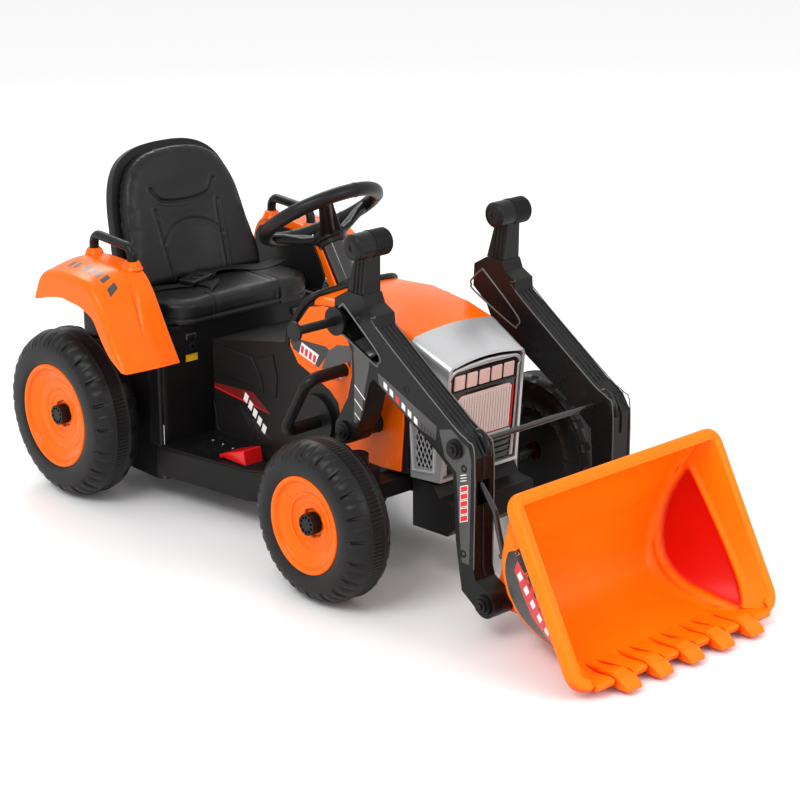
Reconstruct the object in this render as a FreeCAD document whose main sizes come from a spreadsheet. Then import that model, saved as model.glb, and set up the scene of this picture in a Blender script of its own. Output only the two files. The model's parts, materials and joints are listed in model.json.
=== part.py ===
import FreeCAD, Part
import math
import os
import Sketcher

# Battery ride-on loader tractor.  +X is forward (towards the bucket), +Y is the driver's left, +Z is
# up, the ground is z = 0 and the origin is the middle of the object's footprint.  Every sub-part is
# drawn with x measured from the rear axle, and its Placement brings that axle to rear_axle_x.

DRIVING = {
    # running gear
    "rear_axle_x": -585, "rear_tyre_r": 165, "front_tyre_r": 145, "front_axle_x": 717,
    "rear_rim_r": 102, "front_rim_r": 88, "rear_wheel_face_y": 340, "front_wheel_face_y": 316,
    "rear_wheel_w": 100, "front_wheel_w": 90, "axle_r": 6, "stub_r": 6, "bore_play": 0.05,
    "kingpin_x": 717, "kingpin_y": 190, "kingpin_r": 8, "tie_rod_x": 668, "tie_rod_z": 128,
    # bodywork
    "skin": 4, "box_rear_x": -95, "box_front_x": 166, "box_half_w": 205, "box_floor_z": 45,
    "box_top_z": 335, "board_front_x": 452, "board_half_w": 215, "board_z": 60, "board_h": 58,
    "tunnel_half_w": 110, "tunnel_rear_x": 210, "panel_gap": 0.3, "panel_t": 5,
    "step_boss_x": 520, "step_boss_z": 240, "step_boss_r": 46,
    "fender_out_y": 325, "fender_in_y": 205, "fender_top_z": 468,
    "shoulder_r": 16, "crown": 7, "nose_rear_x": 757, "nose_front_x": 842, "nose_half_w": 92, "nose_wall": 6,
    "rail_y": 218, "rail_rear_x": -12, "rail_front_x": 112, "rail_r": 9, "rail_h": 36,
    "guard_y": 200, "guard_r": 11, "guard_low_x": 527, "guard_low_z": 237, "guard_high_x": 598,
    "guard_high_z": 352,
    "jack_y": -128, "jack_z": 299, "jack_r": 8, "jack_bore_r": 2.8,
    # seat
    "seat_half_w": 177, "cushion_z": 345, "cushion_h": 42, "cushion_front_x": 184, "seat_lean": 19,
    "shell_back_t": 20, "back_pad_t": 26, "back_pad_x": 13.5, "back_pad_z": 372,
    # steering
    "steer_tilt": 34, "wheel_x": 403, "wheel_z": 579, "wheel_r": 109, "grip_r": 13, "hub_drop": 46,
    "shaft_r": 8, "crank": 30,
    # loader
    "arm_y": 165, "arm_w": 45, "lift_x": 680, "lift_z": 278, "elbow_x": 960, "elbow_z": 319,
    "pivot_x": 1030, "pivot_z": 64, "eye_r": 24, "bolt_r": 8, "bar_r": 5, "arm_front_x": 1003,
    "handle_x": 722, "handle_z": 614, "handle_r": 23, "handle_len": 75,
    "peg_x": 664, "peg_z": 472, "peg_r": 8, "peg_end_y": 283, "slot_end_x": 761, "slot_end_z": 430,
    "rod_slot_low": 229, "rod_slot_high": 271, "rod_slot_half_w": 14, "rod_r": 5,
    "bucket_half_w": 251, "bucket_body_w": 236, "lip_top_x": 1146, "lip_top_z": 306, "lip_x": 1306,
    "lip_z": 14, "tip_x": 1335, "tip_z": 8, "bucket_wall": 6, "tooth_pitch": 75.7, "tooth_w": 40,
}

doc = FreeCAD.newDocument("ride_on_loader")
sheet = doc.addObject("Spreadsheet::Sheet", "Sizes")
for row, (alias, amount) in enumerate(DRIVING.items(), start=1):
    sheet.set(f"A{row}", alias)
    sheet.set(f"B{row}", str(amount))
    sheet.setAlias(f"B{row}", alias)
doc.recompute()

V = FreeCAD.Vector
SIDES = {"right": -1, "left": 1}
sub_parts = []


def size(term):
    """A number, or the value of an expression on the sheet."""
    if isinstance(term, str):
        return float(sheet.evalExpression(term))
    return float(term)


def S(alias):
    return size("Sizes." + alias)


def place(obj, x=0, y=0, z=0):
    """Puts a sub-part's own origin at x behind the rear axle's zero, y and z, all bound to the sheet."""
    obj.setExpression("Placement.Base.x", f"Sizes.rear_axle_x + {x}")
    for axis, term in (("y", y), ("z", z)):
        if term != 0:
            obj.setExpression(f"Placement.Base.{axis}", str(term))


def keep(obj, label, x=0, y=0, z=0):
    obj.Label = label
    place(obj, x, y, z)
    sub_parts.append(obj)
    return obj


def feature(label, shape):
    """A sub-part whose Shape is set directly, from sizes read off the sheet."""
    obj = doc.addObject("Part::Feature", label)
    obj.Shape = shape
    obj.Label = label
    obj.Placement = FreeCAD.Placement(V(S("rear_axle_x"), 0, 0), FreeCAD.Rotation())
    sub_parts.append(obj)
    return obj


# ---------------------------------------------------------------- sketches and PartDesign bodies

def origin_plane(body, role):
    for plane in body.Origin.OriginFeatures:
        if plane.Role == role:
            return plane
    raise ValueError(role)


def new_sketch(body, role, name, offset=0):
    sketch = body.newObject("Sketcher::SketchObject", name)
    sketch.AttachmentSupport = [(origin_plane(body, role), "")]
    sketch.MapMode = "FlatFace"
    if offset != 0:
        sketch.setExpression("AttachmentOffset.Base.z", str(offset))
    return sketch


def outline(sketch, points):
    """Closed run of straight edges; each corner's coordinates are numbers or sheet expressions."""
    corners = [V(size(x), size(y), 0) for x, y in points]
    count = len(corners)
    for i in range(count):
        sketch.addGeometry(Part.LineSegment(corners[i], corners[(i + 1) % count]), False)
    for i in range(count):
        sketch.addConstraint(Sketcher.Constraint("Coincident", i, 2, (i + 1) % count, 1))
    for i, (x, y) in enumerate(points):
        dims = (("DistanceX", -2, x, corners[i].x), ("DistanceY", -1, y, corners[i].y))
        for kind, axis, term, amount in dims:
            if abs(amount) < 1e-9:
                sketch.addConstraint(Sketcher.Constraint("PointOnObject", i, 1, axis))
                continue
            index = sketch.addConstraint(Sketcher.Constraint(kind, -1, 1, i, 1, amount))
            if isinstance(term, str):
                sketch.setExpression(f"Constraints[{index}]", term)


def disc(sketch, x, y, radius):
    """A circle with a bound centre and radius."""
    centre = V(size(x), size(y), 0)
    index = sketch.addGeometry(Part.Circle(centre, V(0, 0, 1), size(radius)), False)
    for kind, axis, term, amount in (("DistanceX", -2, x, centre.x), ("DistanceY", -1, y, centre.y)):
        if abs(amount) < 1e-9:
            sketch.addConstraint(Sketcher.Constraint("PointOnObject", index, 3, axis))
            continue
        number = sketch.addConstraint(Sketcher.Constraint(kind, -1, 1, index, 3, amount))
        if isinstance(term, str):
            sketch.setExpression(f"Constraints[{number}]", term)
    number = sketch.addConstraint(Sketcher.Constraint("Radius", index, size(radius)))
    if isinstance(radius, str):
        sketch.setExpression(f"Constraints[{number}]", radius)


def extrude(body, kind, sketch, length, both_ways=True, reverse=False):
    """A Pad or a Pocket of a sketch, half to each side of it unless told otherwise."""
    step = body.newObject("PartDesign::" + kind, kind + "_" + sketch.Name)
    step.Profile = sketch
    step.Midplane = both_ways
    step.Reversed = reverse
    step.Length = size(length)
    if isinstance(length, str):
        step.setExpression("Length", length)
    return step


def turned(label, profile, y=0, x=0, z=0, hollow=None):
    """A body revolved about the Y direction through its own origin; profiles are (radius, y) points."""
    body = doc.addObject("PartDesign::Body", label)
    sketch = new_sketch(body, "XY_Plane", label + "_profile")
    outline(sketch, profile)
    spin = body.newObject("PartDesign::Revolution", label + "_turn")
    spin.Profile = sketch
    spin.ReferenceAxis = (sketch, ["V_Axis"])
    spin.Angle = 360
    if hollow:
        cavity = new_sketch(body, "XY_Plane", label + "_cavity")
        outline(cavity, hollow)
        groove = body.newObject("PartDesign::Groove", label + "_hollow")
        groove.Profile = cavity
        groove.ReferenceAxis = (cavity, ["V_Axis"])
        groove.Angle = 360
    doc.recompute()
    return keep(body, label, x, y, z)


# ---------------------------------------------------------------- plain solids

def block(x0, x1, y0, y1, z0, z1):
    return Part.makeBox(x1 - x0, y1 - y0, z1 - z0, V(x0, y0, z0))


def rod(start, end, radius):
    return Part.makeCylinder(radius, (end - start).Length, start, end - start)


def prism_y(points, y0, y1):
    """A solid whose side view (x, z) is the given polygon, from y0 to y1."""
    wire = Part.makePolygon([V(x, y0, z) for x, z in points + points[:1]])
    return Part.Face(wire).extrude(V(0, y1 - y0, 0))


def prism_z(points, z0, z1):
    wire = Part.makePolygon([V(x, y, z0) for x, y in points + points[:1]])
    return Part.Face(wire).extrude(V(0, 0, z1 - z0))


def bent_tube(points, radius, bend):
    """A round bar along a run of points with an arc of radius bend at each inner point."""
    edges = []
    last = points[0]
    for i in range(1, len(points) - 1):
        into = (points[i] - points[i - 1]).normalize()
        out = (points[i + 1] - points[i]).normalize()
        half = into.getAngle(out) / 2
        cut = bend * math.tan(half)
        first = points[i] - into * cut
        final = points[i] + out * cut
        middle_dir = (out - into).normalize()
        centre = points[i] + middle_dir * (bend / math.cos(half))
        middle = centre - middle_dir * bend
        edges.append(Part.makeLine(last, first))
        edges.append(Part.Arc(first, middle, final).toShape())
        last = final
    edges.append(Part.makeLine(last, points[-1]))
    path = Part.Wire(edges)
    ring = Part.Wire([Part.makeCircle(radius, points[0], points[1] - points[0])])
    return path.makePipeShell([ring], True, True)


def arch(x, half_w, low, crest, inward=0.0):
    """Closed cross-section at x: flat bottom, upright sides, rounded shoulders and a slightly domed top."""
    corner = S("shoulder_r") - inward
    w, z = half_w - inward, crest - inward
    bend = corner * (1 - math.sqrt(0.5))
    top = z + S("crown")
    return Part.Wire([
        Part.makeLine(V(x, w, low), V(x, w, z - corner)),
        Part.Arc(V(x, w, z - corner), V(x, w - bend, z - bend), V(x, w - corner, z)).toShape(),
        Part.Arc(V(x, w - corner, z), V(x, 0, top), V(x, corner - w, z)).toShape(),
        Part.Arc(V(x, corner - w, z), V(x, bend - w, z - bend), V(x, -w, z - corner)).toShape(),
        Part.makeLine(V(x, -w, z - corner), V(x, -w, low)),
        Part.makeLine(V(x, -w, low), V(x, w, low)),
    ])


def arch_loft(sections, inward=0.0, drop=0.0):
    return Part.makeLoft([arch(x, w, low - drop, crest, inward) for x, w, low, crest in sections], True, True)


def round_edges(shape, radius, test):
    return shape.makeFillet(radius, [edge for edge in shape.Edges if test(edge)])


def drilled_y(shape, holes):
    """Cuts round holes that run along Y: each is (x, z, radius, y0, y1)."""
    for x, z, radius, y0, y1 in holes:
        shape = shape.cut(rod(V(x, y0, z), V(x, y1, z), radius))
    return shape


# ---------------------------------------------------------------- wheels

def wheel(end, side, radius, rim_r, width, face, axle_x, shaft_r):
    """Tyre, rim and hub cap of one wheel, turned about its axle; face is the outer face's distance."""
    label = f"{end}_{{}}_{side}"
    s = SIDES[side]
    k = -s
    y = f"{s} * Sizes.{face}"
    x = "0" if axle_x is None else f"Sizes.{axle_x}"
    z = f"Sizes.{radius}"
    deep = f"Sizes.{width}"
    tread = f"Sizes.{radius}"
    rim = f"Sizes.{rim_r}"
    turned(label.format("tyre"), [
        (f"{rim} - 6", f"{k} * 14"),
        (f"{rim} - 6", f"{k} * ({deep} - 10)"),
        (f"{tread} - 22", f"{k} * {deep}"),
        (f"{tread} - 8", f"{k} * ({deep} - 12)"),
        (f"{tread}", f"{k} * ({deep} - 34)"),
        (f"{tread}", f"{k} * 36"),
        (f"{tread} - 8", f"{k} * 12"),
        (f"{tread} - 26", f"{k} * 1"),
        (f"{rim}", "0"),
        (rim, f"{k} * 14"),
    ], y, x, z, [
        (f"{rim} - 7", f"{k} * 20"),
        (f"{rim} + 4", f"{k} * 20"),
        (f"{rim} + 8", f"{k} * 7"),
        (f"{tread} - 26", f"{k} * 7"),
        (f"{tread} - 14", f"{k} * 16"),
        (f"{tread} - 8", f"{k} * 38"),
        (f"{tread} - 8", f"{k} * ({deep} - 36)"),
        (f"{tread} - 14", f"{k} * ({deep} - 14)"),
        (f"{tread} - 26", f"{k} * ({deep} - 7)"),
        (f"{rim} + 4", f"{k} * ({deep} - 14)"),
        (f"{rim} - 7", f"{k} * ({deep} - 16)"),
    ])
    hub_bore = f"Sizes.{shaft_r} + Sizes.bore_play"
    turned(label.format("rim"), [
        (hub_bore, f"{k} * 30"),
        (hub_bore, f"{k} * ({deep} - 6)"),
        (17, f"{k} * ({deep} - 6)"),
        (17, f"{k} * 38"),
        (f"{rim} - 14", f"{k} * 34"),
        (f"{rim} - 14", f"{k} * ({deep} - 14)"),
        (f"{rim} - 6.2", f"{k} * ({deep} - 14)"),
        (f"{rim} - 6.2", f"{k} * 13.8"),
        (f"{rim} - 0.2", f"{k} * 13.8"),
        (f"{rim} - 0.2", f"{k} * 2"),
        (f"{rim} - 7", f"{k} * 1"),
        (f"{rim} - 16", f"{k} * 13"),
        (f"{rim} - 30", f"{k} * 20"),
        (44, f"{k} * 26"),
        (24, f"{k} * 30"),
    ], y, x, z)
    turned(label.format("hub_cap"), [
        (0, f"{k} * 9"),
        (17, f"{k} * 9"),
        (20, f"{k} * 12"),
        (20, f"{k} * 29.8"),
        (16, f"{k} * 29.8"),
        (16, f"{k} * 13"),
        (0, f"{k} * 13"),
    ], y, x, z)


for side_name in SIDES:
    wheel("rear", side_name, "rear_tyre_r", "rear_rim_r", "rear_wheel_w", "rear_wheel_face_y", None, "axle_r")
    wheel("front", side_name, "front_tyre_r", "front_rim_r", "front_wheel_w", "front_wheel_face_y",
          "front_axle_x", "stub_r")

# Rear axle: one steel rod right across, with a nut screwed on each end under the hub cap.
axle_end = "(Sizes.rear_wheel_face_y - 15)"
turned("rear_axle", [(0, f"-{axle_end}"), ("Sizes.axle_r", f"-{axle_end}"), ("Sizes.axle_r", axle_end),
                     (0, axle_end)], 0, 0, "Sizes.rear_tyre_r")


# ---------------------------------------------------------------- rear body

def lower_body():
    """Seat box and foot boards: one blow-moulded shell, open underneath."""
    t = S("skin")
    rear, front, w = S("box_rear_x"), S("box_front_x"), S("box_half_w")
    low, top = S("box_floor_z"), S("box_top_z")
    bw, bz, bh, bf = S("board_half_w"), S("board_z"), S("board_h"), S("board_front_x")
    box = round_edges(block(rear, front, -w, w, low, top), 22,
                      lambda e: abs(e.BoundBox.ZLength - (top - low)) < 1e-6)
    half_plan = [(front - t, bw), (bf - 62, bw - 39), (bf, bw - 75)]
    board_plan = [(x, -y) for x, y in half_plan] + half_plan[::-1]
    board = prism_z(board_plan, bz, bz + bh)
    board = round_edges(board, 8, lambda e: abs(e.BoundBox.ZMin - bz - bh) < 1e-6)
    hollow_box = block(rear + t, front - t, -w + t, w - t, low - 1, top - t)
    half_inner = [(front, bw - t), (bf - 64, bw - 43), (bf - t, bw - 79)]
    inner_plan = [(x, -y) for x, y in half_inner] + half_inner[::-1]
    hollow_board = prism_z(inner_plan, bz - 1, bz + bh - t)
    body = box.fuse(board).cut(hollow_box).cut(hollow_board)
    gap = block(S("tunnel_rear_x") - 1, bf + 1, -S("tunnel_half_w") - 0.3, S("tunnel_half_w") + 0.3,
                bz - 1, bz + bh + 1)
    body = body.cut(gap)
    z = S("rear_tyre_r")
    body = drilled_y(body, [(0, z, S("axle_r") + 2, -w - 1, w + 1), (52, z, 21, -w - 1, w + 1)])
    body = body.cut(block(306, 378, -170, -116, bz + bh - t - 1, bz + bh + 1))
    jack_y, jack_z = S("jack_y"), S("jack_z")
    body = body.cut(rod(V(front - t - 1, jack_y, jack_z), V(front + 1, jack_y, jack_z), S("jack_r") + 0.2))
    return body.removeSplitter()


feature("lower_body", lower_body())


def fender(s):
    """Rear mudguard: arched top band, sloping front and an outer skirt, 4 mm thick."""
    t = S("skin")
    top = S("fender_top_z")
    y_in, y_out = S("fender_in_y") + 0.3, S("fender_out_y")
    crest = [(-62, 392), (-50, 446), (-20, top - 4), (40, top), (112, top - 6), (150, top - 28), (196, 366),
             (236, 300)]
    under = [(x - t * 0.8 if x > 130 else x + (t if x < -40 else 0), z - (t if x > -60 else 0))
             for x, z in crest[1:-1]]
    band = prism_y(crest + [(229, 300)] + under[::-1] + [(-57, 392)], y_in, y_out)
    skirt_low = [(236, 300), (215, 300), (179, 321), (150, 363), (126, 392), (78, 402), (28, 406), (-20, 396),
                 (-62, 384)]
    skirt = prism_y(crest[1:-1] + skirt_low, y_out - t, y_out)
    inner = prism_y([(-50, 440), (112, 458), (150, 436), (180, 380), (150, 345), (-50, 345)], y_in, y_in + t)
    shell = band.fuse(skirt).fuse(inner).removeSplitter()
    seats = [rod(V(S(x), S("rail_y"), top - 12), V(S(x), S("rail_y"), top + 6), S("rail_r") + 7)
             for x in ("rail_rear_x", "rail_front_x")]
    shell = shell.fuse(seats[0]).fuse(seats[1])
    for x in ("rail_rear_x", "rail_front_x"):
        shell = shell.cut(rod(V(S(x), S("rail_y"), top - 20), V(S(x), S("rail_y"), top + 8), S("rail_r")))
    if s < 0:
        shell = shell.mirror(V(0, 0, 0), V(0, 1, 0))
    return shell


def grab_rail(s):
    y = s * S("rail_y")
    foot = S("fender_top_z") - 10
    high = S("fender_top_z") + S("rail_h")
    rear, front = S("rail_rear_x"), S("rail_front_x")
    return bent_tube([V(rear, y, foot), V(rear, y, high), V(front, y, high - 6), V(front, y, foot)],
                     S("rail_r"), 20)


def guard_tube(s):
    """Bent tube beside the front of the foot well; both ends enter the centre body's side."""
    near, far = s * (S("tunnel_half_w") - 12), s * S("guard_y")
    low_x, low_z = S("guard_low_x"), S("guard_low_z")
    high_x, high_z = S("guard_high_x"), S("guard_high_z")
    return bent_tube([V(low_x, near, low_z), V(low_x, far, low_z), V(high_x, far, high_z),
                      V(high_x, near, high_z)], S("guard_r"), 26)


for side_name, sign in SIDES.items():
    feature("fender_" + side_name, fender(sign))
    feature("grab_rail_" + side_name, grab_rail(sign))
    feature("guard_tube_" + side_name, guard_tube(sign))


# ---------------------------------------------------------------- seat

def domed_plate(outline, thickness):
    """Upright plate in the YZ plane, thickness along +X from x = 0, from (half width, height) points."""
    crown = outline[-1][1] + 8
    left = [V(0, w, z) for w, z in outline]
    right = [V(0, -w, z) for w, z in outline]
    edge = Part.BSplineCurve()
    edge.interpolate(left + [V(0, 0, crown)] + right[::-1])
    wire = Part.Wire([edge.toShape(), Part.makeLine(right[0], left[0])])
    return Part.Face(wire).extrude(V(thickness, 0, 0))


def lean_back(shape, x, z):
    """Tilts a shape backwards by the seat's lean and stands it at (x, z)."""
    shape.rotate(V(0, 0, 0), V(0, 1, 0), -S("seat_lean"))
    shape.translate(V(x, 0, z))
    return shape


SHELL_OUTLINE = [(162, 0), (169, 60), (163, 113), (154, 179), (138, 246), (112, 286), (72, 308)]
PAD_OUTLINE = [(152, 0), (158, 34), (152, 86), (144, 150), (128, 208), (103, 246), (66, 266)]


def seat_shell():
    """One moulded tub: seat pan and back."""
    back = lean_back(domed_plate(SHELL_OUTLINE, S("shell_back_t")), 1, S("box_top_z") + 1)
    pan = block(-20, 168, -S("seat_half_w") + 4, S("seat_half_w") - 4, S("box_top_z") + 0.2,
                S("cushion_z") - 0.2)
    return back.fuse(pan).removeSplitter()


def base_cushion():
    plan = block(40, S("cushion_front_x"), -S("seat_half_w"), S("seat_half_w"), S("cushion_z"),
                 S("cushion_z") + S("cushion_h"))
    plan = round_edges(plan, 60, lambda e: e.BoundBox.ZLength > 1 and e.BoundBox.XMin > 100)
    return round_edges(plan, 10, lambda e: abs(e.BoundBox.ZMin - S("cushion_z") - S("cushion_h")) < 1e-6)


def back_cushion():
    pad = domed_plate(PAD_OUTLINE, S("back_pad_t"))
    pad = round_edges(pad, 8, lambda e: e.BoundBox.XMin > S("back_pad_t") - 1)
    return lean_back(pad, S("back_pad_x"), S("back_pad_z"))


behind_pad = lean_back(block(-30, 0.2, -200, 200, -40, 200), S("back_pad_x"), S("back_pad_z"))
feature("seat_shell", seat_shell())
feature("seat_back_pad", back_cushion().cut(base_cushion()))
feature("seat_base_pad", base_cushion().cut(behind_pad))

# Lap belt: two webbing straps laid across the cushion, joined by a side-release buckle.
BELT_Z = S("cushion_z") + S("cushion_h") + 0.4
feature("lap_belt_right", block(62, 100, -172, -66, BELT_Z, BELT_Z + 1.6))
feature("lap_belt_left", block(62, 100, 0, 172, BELT_Z, BELT_Z + 1.6))
feature("belt_buckle", round_edges(block(60, 102, -66, 0, BELT_Z, BELT_Z + 14), 4,
                                   lambda e: e.BoundBox.ZLength > 1))


# ---------------------------------------------------------------- front body

# Steering axis: the ring's centre and the unit vectors down the shaft and across it.
LEAN = math.radians(S("steer_tilt"))
DOWN_SHAFT = V(math.sin(LEAN), 0, -math.cos(LEAN))
ACROSS_SHAFT = V(-math.cos(LEAN), 0, -math.sin(LEAN))
RING_CENTRE = V(S("wheel_x"), 0, S("wheel_z"))


def side_outline():
    """Side view of the centre body: foot-well tunnel, dash and engine cover core."""
    rear = S("tunnel_rear_x")
    return [(rear, 62), (rear, 320), (440, 366), (452, 400), (500, 447), (540, 454), (620, 454), (740, 430),
            (756, 422), (756, 198), (700, 190), (640, 96), (452, 62)]


def inset(points, distance):
    """The same polygon with every edge moved inwards."""
    count = len(points)
    area = sum(points[i][0] * points[(i + 1) % count][1] - points[(i + 1) % count][0] * points[i][1]
               for i in range(count))
    turn = 1 if area > 0 else -1
    lines = []
    for i in range(count):
        (x0, z0), (x1, z1) = points[i], points[(i + 1) % count]
        length = math.hypot(x1 - x0, z1 - z0)
        nx, nz = -(z1 - z0) / length * turn, (x1 - x0) / length * turn
        lines.append((x0 + nx * distance, z0 + nz * distance, x1 - x0, z1 - z0))
    result = []
    for i in range(count):
        x0, z0, dx0, dz0 = lines[i - 1]
        x1, z1, dx1, dz1 = lines[i]
        cross = dx0 * dz1 - dz0 * dx1
        along = ((x1 - x0) * dz1 - (z1 - z0) * dx1) / cross
        result.append((x0 + dx0 * along, z0 + dz0 * along))
    return result


def lift_boss(s):
    """Boss on the body's side that carries the arm's lower pivot."""
    return rod(V(S("lift_x"), s * 100, S("lift_z")),
               V(S("lift_x"), s * (S("arm_y") - S("arm_w") / 2 - 0.4), S("lift_z")), 20)


def centre_body():
    w = S("tunnel_half_w")
    t = S("skin")
    shell = prism_y(side_outline(), -w, w)
    cavity = prism_y(inset(side_outline(), t), -w + t, w - t)
    floor_cut = block(S("tunnel_rear_x") + t, 448, -w + t, w - t, 50, 70)
    shell = shell.cut(cavity).cut(floor_cut)
    for s in SIDES.values():
        shell = shell.fuse(lift_boss(s))
        shell = shell.fuse(rod(V(S("step_boss_x"), s * (w - 1), S("step_boss_z")),
                               V(S("step_boss_x"), s * (w + 9), S("step_boss_z")), S("step_boss_r")))
        shell = drilled_y(shell, [
            (S("lift_x"), S("lift_z"), S("bolt_r"), s * 90, s * 160),
            (S("guard_low_x"), S("guard_low_z"), S("guard_r"), s * (w - 13), s * 130),
            (S("guard_high_x"), S("guard_high_z"), S("guard_r"), s * (w - 13), s * 130),
            (S("tie_rod_x"), S("tie_rod_z"), 15, s * 100, s * 120)])
    shell = shell.cut(rod(RING_CENTRE + DOWN_SHAFT * 100, RING_CENTRE + DOWN_SHAFT * 190, 26))
    shell = shell.cut(block(600, 700, -60, 60, 60, 190))
    return shell.removeSplitter()


def side_panel(s):
    """Coloured side panel, a plate against the centre body's flank, with a hole for each fitting."""
    w = S("tunnel_half_w") + S("panel_gap")
    view = [(447, 372), (455, 392), (503, 447), (540, 456), (620, 457), (752, 425), (752, 290), (744, 200),
            (700, 196), (604, 196), (592, 236), (580, 286), (557, 304), (505, 322), (470, 334), (448, 362)]
    plate = prism_y(view, s * w, s * (w + S("panel_t")))
    return drilled_y(plate, [
        (S("lift_x"), S("lift_z"), 20.3, s * 100, s * 130),
        (S("guard_high_x"), S("guard_high_z"), S("guard_r") + 0.3, s * 100, s * 130),
        (S("step_boss_x"), S("step_boss_z"), S("step_boss_r") + 0.5, s * 100, s * 130)])


def hood_sections():
    return [(500, 100, 440, 463), (600, 105, 446, 469), (690, 106, 428, 459), (756.5, 102, 410, 445)]


def hood_cover():
    """Arched engine cover, a 4 mm shell that sits on the centre body."""
    t = S("skin")
    shell = arch_loft(hood_sections()).cut(arch_loft(hood_sections(), t, 60))
    shell = shell.cut(prism_y(side_outline(), -130, 130))
    return shell.cut(rod(RING_CENTRE + DOWN_SHAFT * 90, RING_CENTRE + DOWN_SHAFT * 190, 34)).removeSplitter()


def nose_sections():
    rear, front, w = S("nose_rear_x"), S("nose_front_x"), S("nose_half_w")
    return [(rear, w + 10, 192, 445), (front, w - 1, 196, 410)]


def nose_loft(inward):
    return Part.makeLoft([arch(x, w, low + inward, crest, inward) for x, w, low, crest in nose_sections()],
                         True, True)


def nose_solid(inward):
    rake = prism_y([(822, 180), (S("nose_front_x"), 404), (S("nose_front_x") - 10, 470), (1000, 470),
                    (1000, 180)], -150, 150)
    return nose_loft(inward).cut(rake)


def nose_frame():
    shell = nose_solid(0).cut(nose_loft(S("nose_wall")))
    for s in SIDES.values():
        window = prism_y([(768, 214), (806, 218), (806, 282), (768, 286)], s * 84, s * 110)
        shell = shell.cut(window)
    return shell.removeSplitter()


LAMP_ROW_Z = 373
LAMP_PITCH = 31
LAMP_HALF = 13
PANEL_VIEW = [(-62, 262), (-72, 300), (-60, 346), (72, 346), (72, 262)]


def face_window(points, x0, x1):
    """A window through the face: (y, z) polygon from x0 to x1."""
    wire = Part.makePolygon([V(x0, y, z) for y, z in points + points[:1]])
    return Part.Face(wire).extrude(V(x1 - x0, 0, 0))


def lamp_windows():
    shapes = []
    for i in range(-2, 3):
        y = i * LAMP_PITCH
        shapes.append(block(700, 900, y - LAMP_HALF, y + LAMP_HALF, LAMP_ROW_Z - 15, LAMP_ROW_Z + 15))
    shapes.append(face_window(PANEL_VIEW, 700, 900))
    return shapes


def grille():
    """Black face plate, raked like the nose, with lamp and louvre openings."""
    wall = S("nose_wall")
    solid = nose_solid(wall + 0.2)
    plate = solid.common(prism_y([(808, 180), (826, 404), (822, 470), (831, 470), (834, 404), (817, 180)],
                                 -150, 150))
    for window in lamp_windows():
        plate = plate.cut(window)
    for z in (212, 230):
        plate = plate.cut(block(700, 900, 20, 70, z - 5, z + 5))
        plate = plate.cut(block(700, 900, -70, -20, z - 5, z + 5))
    return plate


def lamp_lens():
    """Clear lens plate behind the face, with pads that fill the lamp windows."""
    back = nose_solid(S("nose_wall") + 3).common(
        prism_y([(806, 255), (818, 396), (825.0, 396), (813.6, 255)], -78, 78))
    pads = None
    for i in range(-2, 3):
        y = i * LAMP_PITCH
        pad = block(800, 900, y - LAMP_HALF + 0.5, y + LAMP_HALF - 0.5, LAMP_ROW_Z - 14.5, LAMP_ROW_Z + 14.5)
        pads = pad if pads is None else pads.fuse(pad)
    centre = [(-60, 264), (-70, 300), (-58, 344), (70, 344), (70, 264)]
    pads = pads.fuse(face_window(centre, 800, 900))
    pads = pads.common(prism_y([(810, 240), (823, 400), (833, 400), (820, 240)], -90, 90))
    return back.fuse(pads).removeSplitter()


def front_bumper():
    view = [(757.3, 100), (757.3, 189), (812, 189), (826, 170), (860, 166), (862, 120), (846, 104)]
    shell = prism_y(view, -98, 98)
    shell = shell.cut(prism_y(inset(view, S("skin")), -94, 94))
    return shell.cut(block(765, 840, -90, 90, 90, 110))


def axle_beam():
    """Front axle housing: cross tube with a bracket at each end that holds a kingpin."""
    x, y, r = S("kingpin_x"), S("kingpin_y"), S("kingpin_r")
    beam = block(x - 16, x + 28, -y + 22, y - 22, 160, 189.5)
    for s in SIDES.values():
        y_near, y_far = sorted((s * (y - 26), s * (y + 22)))
        bracket = block(x - 26, x + 30, y_near, y_far, 176, 222)
        cap = rod(V(x, s * y, 220), V(x, s * y, 246), 20)
        beam = beam.fuse(bracket).fuse(cap)
        beam = beam.cut(rod(V(x, s * y, 150), V(x, s * y, 236), r + 0.05))
    return beam.removeSplitter()


feature("centre_body", centre_body())
for side_name, sign in SIDES.items():
    feature("side_panel_" + side_name, side_panel(sign))
feature("hood_cover", hood_cover())
feature("nose_frame", nose_frame())
feature("grille", grille())
feature("lamp_lens", lamp_lens())
feature("front_bumper", front_bumper())
feature("axle_beam", axle_beam())


# ---------------------------------------------------------------- steering

HUB = RING_CENTRE + DOWN_SHAFT * S("hub_drop")
SHAFT_END = RING_CENTRE + DOWN_SHAFT * 486


def steering_wheel():
    """Ring, hub and three spokes that rise from the hub to the ring."""
    ring = Part.makeTorus(S("wheel_r"), S("grip_r"), RING_CENTRE, DOWN_SHAFT)
    hub = rod(HUB - DOWN_SHAFT * 16, HUB + DOWN_SHAFT * 14, 27)
    shape = ring.fuse(hub)
    for turn in (90, 210, 330):
        angle = math.radians(turn)
        out = ACROSS_SHAFT * -math.cos(angle) + V(0, 1, 0) * math.sin(angle)
        shape = shape.fuse(rod(HUB + out * 16, RING_CENTRE + out * (S("wheel_r") - 4), 9))
    shape = shape.cut(rod(HUB - DOWN_SHAFT * 4, HUB + DOWN_SHAFT * 30, S("shaft_r")))
    return shape.removeSplitter()


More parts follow.
